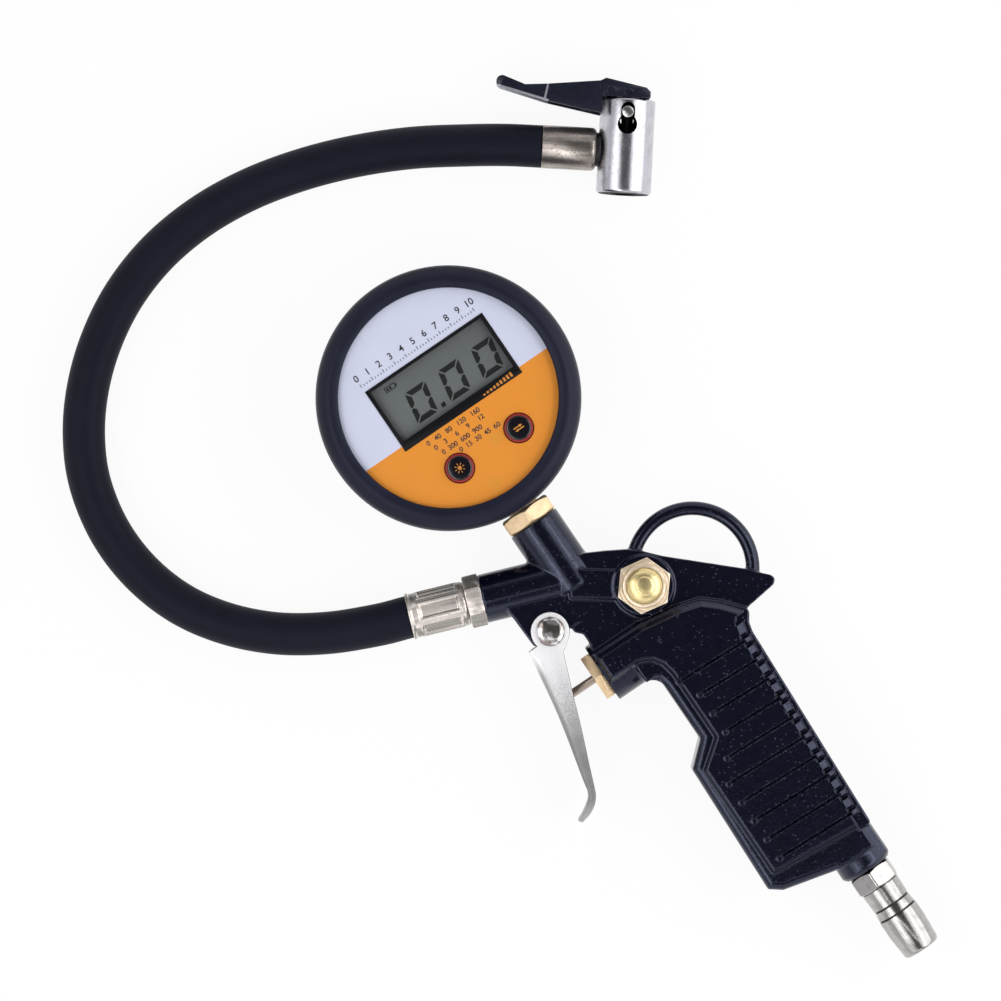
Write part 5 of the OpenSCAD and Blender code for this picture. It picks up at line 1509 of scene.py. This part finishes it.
class INFLATOR_OT_hose_fittings(bpy.types.Operator):
    """Makes the ferrules, the hexagonal nut and the neck at the ends of the hose."""

    bl_idname = "inflator.hose_fittings"
    bl_label = "Hose fittings"

    def execute(self, context):
        edged("hose_nut", "hose_tail_gun", nickel_plate("gun"), width=0.0004)
        edged("chuck_neck", "hose_tail_chuck", simple("blackened_steel"), width=0.0002)
        sleeve = [
            (3.3, 16.4), (6.0, 16.4), (6.0, 0.05), (6.3, 0), (6.95, 0.0), (7.15, 0.2), (7.15, 0.8), (6.95, 1.0),
            *((6.8, 0.2 * k) for k in range(6, 86)), (6.75, 17.3), (6.5, 17.75), (6.2, 18), (3.3, 18),
        ]
        bm = turned(lambda a: [(r + self.crimp(a, h), h) for r, h in sleeve], 288)
        place = standing(GUN_MOUTH, -OUTLET_WAY)
        own_piece("crimped_ferrule", bm, nickel_plate("gun"), "ferrule_gun", place, sharp=45)
        section = [
            (3.3, 15), (6.0, 15), (6.0, 0), (6.5, 0), (6.6, 0.1), (6.6, 14.3), *arc((5.1, 15), 1.5, 0, 90)[1:],
            (3.3, 16.5),
        ]
        place = standing(CHUCK_MOUTH, CHUCK_WAY)
        own_piece("plain_ferrule", turned(section, 128), nickel_plate("chuck"), "ferrule_chuck", place, sharp=60)
        return {"FINISHED"}

    def crimp(self, angle, height):
        """Depth of the six pressed windows of the ferrule, with the ridge raised round each."""
        across = abs((angle + math.radians(8)) % (math.pi / 3) - math.pi / 6) * 6.8
        edge = max(across - 2.3, 3.6 - height, height - 15.6)
        inside = min(1, max(0, -edge / 0.5))
        ridge = math.exp(-(((edge - 0.35) / 0.28) ** 2)) * 0.12 if 1.2 < height < 17.2 else 0
        return ridge - 0.6 * inside * inside * (3 - 2 * inside)


class INFLATOR_OT_chuck(bpy.types.Operator):
    """Makes the chrome chuck, its lever, what shows in its keyhole and its spring."""

    bl_idname = "inflator.chuck"
    bl_label = "Chuck"

    def execute(self, context):
        # In the frame of the chuck, z runs up its axis, y up from the floor and x towards the hose
        barrel = turned([
            (4.2, -13.3), *arc((7.15, -12.05), 1.25, -90, 0), *arc((7.6, 14.9), 0.8, 0, 90, 5),
            (1.85, 15.7), (1.85, 14.2), (5.3, 14.2), (5.3, -11.3), (4.2, -11.3),
        ], 192)
        neck = turned([
            (0, 2), (1.6, 2), (1.6, 5.6), (4.02, 5.6), (4.02, 7.6), (5.3, 7.6), (5.3, 12), (0, 12),
        ], 64, closed=False)
        neck.transform(Matrix.Rotation(math.pi / 2, 4, "Y"))
        half = math.degrees(math.asin(KEYHOLE_SLOT / KEYHOLE))
        slot_end = arc((0, 12.4), KEYHOLE_SLOT, 0, 180, 16)
        window = [
            prism(-10, 0, arc((0, 7.7), KEYHOLE, 90 + half, 450 - half, 40) + slot_end),
            prism(0, 10, arc((0, 9.8), KEYHOLE_SLOT, 180, 360, 16) + slot_end),
        ]
        clevis = prism(-3.6, 3.6, [(3.5, 14.6), (7.3, 14.6), *arc((5.4, 17.8), 1.9, 0, 180, 16)])
        for bm in (*window, clevis):
            bm.transform(Matrix.Rotation(math.pi / 2, 4, "X"))
        barrel = combined(combined(barrel, neck, *window), clevis, operation="UNION")
        place = standing(CHUCK_CENTRE, CHUCK_UP)
        own_piece("chuck_barrel", barrel, chrome_plate(), "chuck_body", place, sharp=35)
        edged("thumb_lever", "chuck_lever", lever_paint(), width=0.0003, angle=15, segments=3)
        dress(lever_paint(), "lever_pin", "link_pin")
        # The plunger rod, seen through the keyhole, is given dark blackened steel so that the keyhole reads dark:
        # painted shade
        dress(simple("blackened_steel"), "plunger_rod")
        edged("keyhole_pin", "cross_pin", simple("bright_steel"), width=0.0003, segments=3)
        coil("chuck_coil", "chuck_spring", "plunger_slide")
        return {"FINISHED"}


class INFLATOR_OT_hose(bpy.types.Operator):
    """Makes the hose. It comes after the chuck and the fittings."""

    bl_idname = "inflator.hose"
    bl_label = "Hose"

    def execute(self, context):
        look = context.scene.inflator_hose
        path = [row(p) for p in curve_through([GUN_MOUTH, *HOSE_POINTS, CHUCK_MOUTH], 8)]
        bm, run = swept(path, look.diameter / 2, look.sides)
        obj = own_piece("air_hose", bm, hose_rubber(), "hose", sharp=60)
        return {"FINISHED"}


class INFLATOR_OT_inner_pieces(bpy.types.Operator):
    """Gives the pieces inside the gun, the gauge and the chuck their finishes, and makes the springs."""

    bl_idname = "inflator.inner_pieces"
    bl_label = "Inner pieces"

    def execute(self, context):
        for finish, nodes in (
            (simple("seal_rubber"), (
                "cartridge_o_ring", "pin_o_ring", "poppet_seal", "bleed_gasket", "bleed_seal", "chuck_seal",
                "rod_o_ring",
            )),
            (simple("screw_steel"), ("case_screws", "battery_door_screw", "board_screws")),
            (machined_brass("pale"), ("poppet", "plunger_foot", "valve_depressor", "chuck_collet", "guide_bush")),
            (simple("bright_steel"), ("stem_nut", "pressure_sensor")),
            (simple("black_plastic"), ("gauge_case", "case_back", "battery_door", "battery_tray", "tact_switches")),
            (nickel_plate("gun"), ("battery_contacts",)),
            (cell_sleeve(), ("battery_cells",)),
            (board_green(), ("circuit_board",)),
            (simple("white_plastic"), ("backlight",)),
        ):
            dress(finish, *nodes)
        coil("valve_coil", "valve_spring", "inflate_valve_slide")
        coil("bleed_coil", "bleed_spring", "bleed_press")
        return {"FINISHED"}


# In the order in which they run
PIECES = (
    INFLATOR_OT_studio, INFLATOR_OT_casting, INFLATOR_OT_trigger, INFLATOR_OT_valves, INFLATOR_OT_nipple,
    INFLATOR_OT_stem, INFLATOR_OT_boot, INFLATOR_OT_face, INFLATOR_OT_display, INFLATOR_OT_keys,
    INFLATOR_OT_hose_fittings, INFLATOR_OT_chuck, INFLATOR_OT_hose, INFLATOR_OT_inner_pieces,
)


class INFLATOR_PT_panel(bpy.types.Panel):
    """Lists the looks and the operators of the inflator."""

    bl_idname = "INFLATOR_PT_panel"
    bl_label = "Tyre inflator"
    bl_space_type = "VIEW_3D"
    bl_region_type = "UI"
    bl_category = "Inflator"

    def draw(self, context):
        for name, look in LOOKS.items():
            box = self.layout.box()
            box.label(text=look.__doc__)
            for key in look.__annotations__:
                box.prop(getattr(context.scene, name), key)
        for operator in PIECES:
            self.layout.operator(operator.bl_idname)


CLASSES = (*LOOKS.values(), *PIECES, INFLATOR_PT_panel)


def register():
    for cls in CLASSES:
        bpy.utils.register_class(cls)
    for name, look in LOOKS.items():
        setattr(bpy.types.Scene, name, PointerProperty(type=look))


def unregister():
    for name in LOOKS:
        delattr(bpy.types.Scene, name)
    for cls in reversed(CLASSES):
        bpy.utils.unregister_class(cls)


def main():
    register()
    for operator in PIECES:
        group, name = operator.bl_idname.split(".")
        getattr(getattr(bpy.ops, group), name)()


if __name__ == "__main__":
    main()
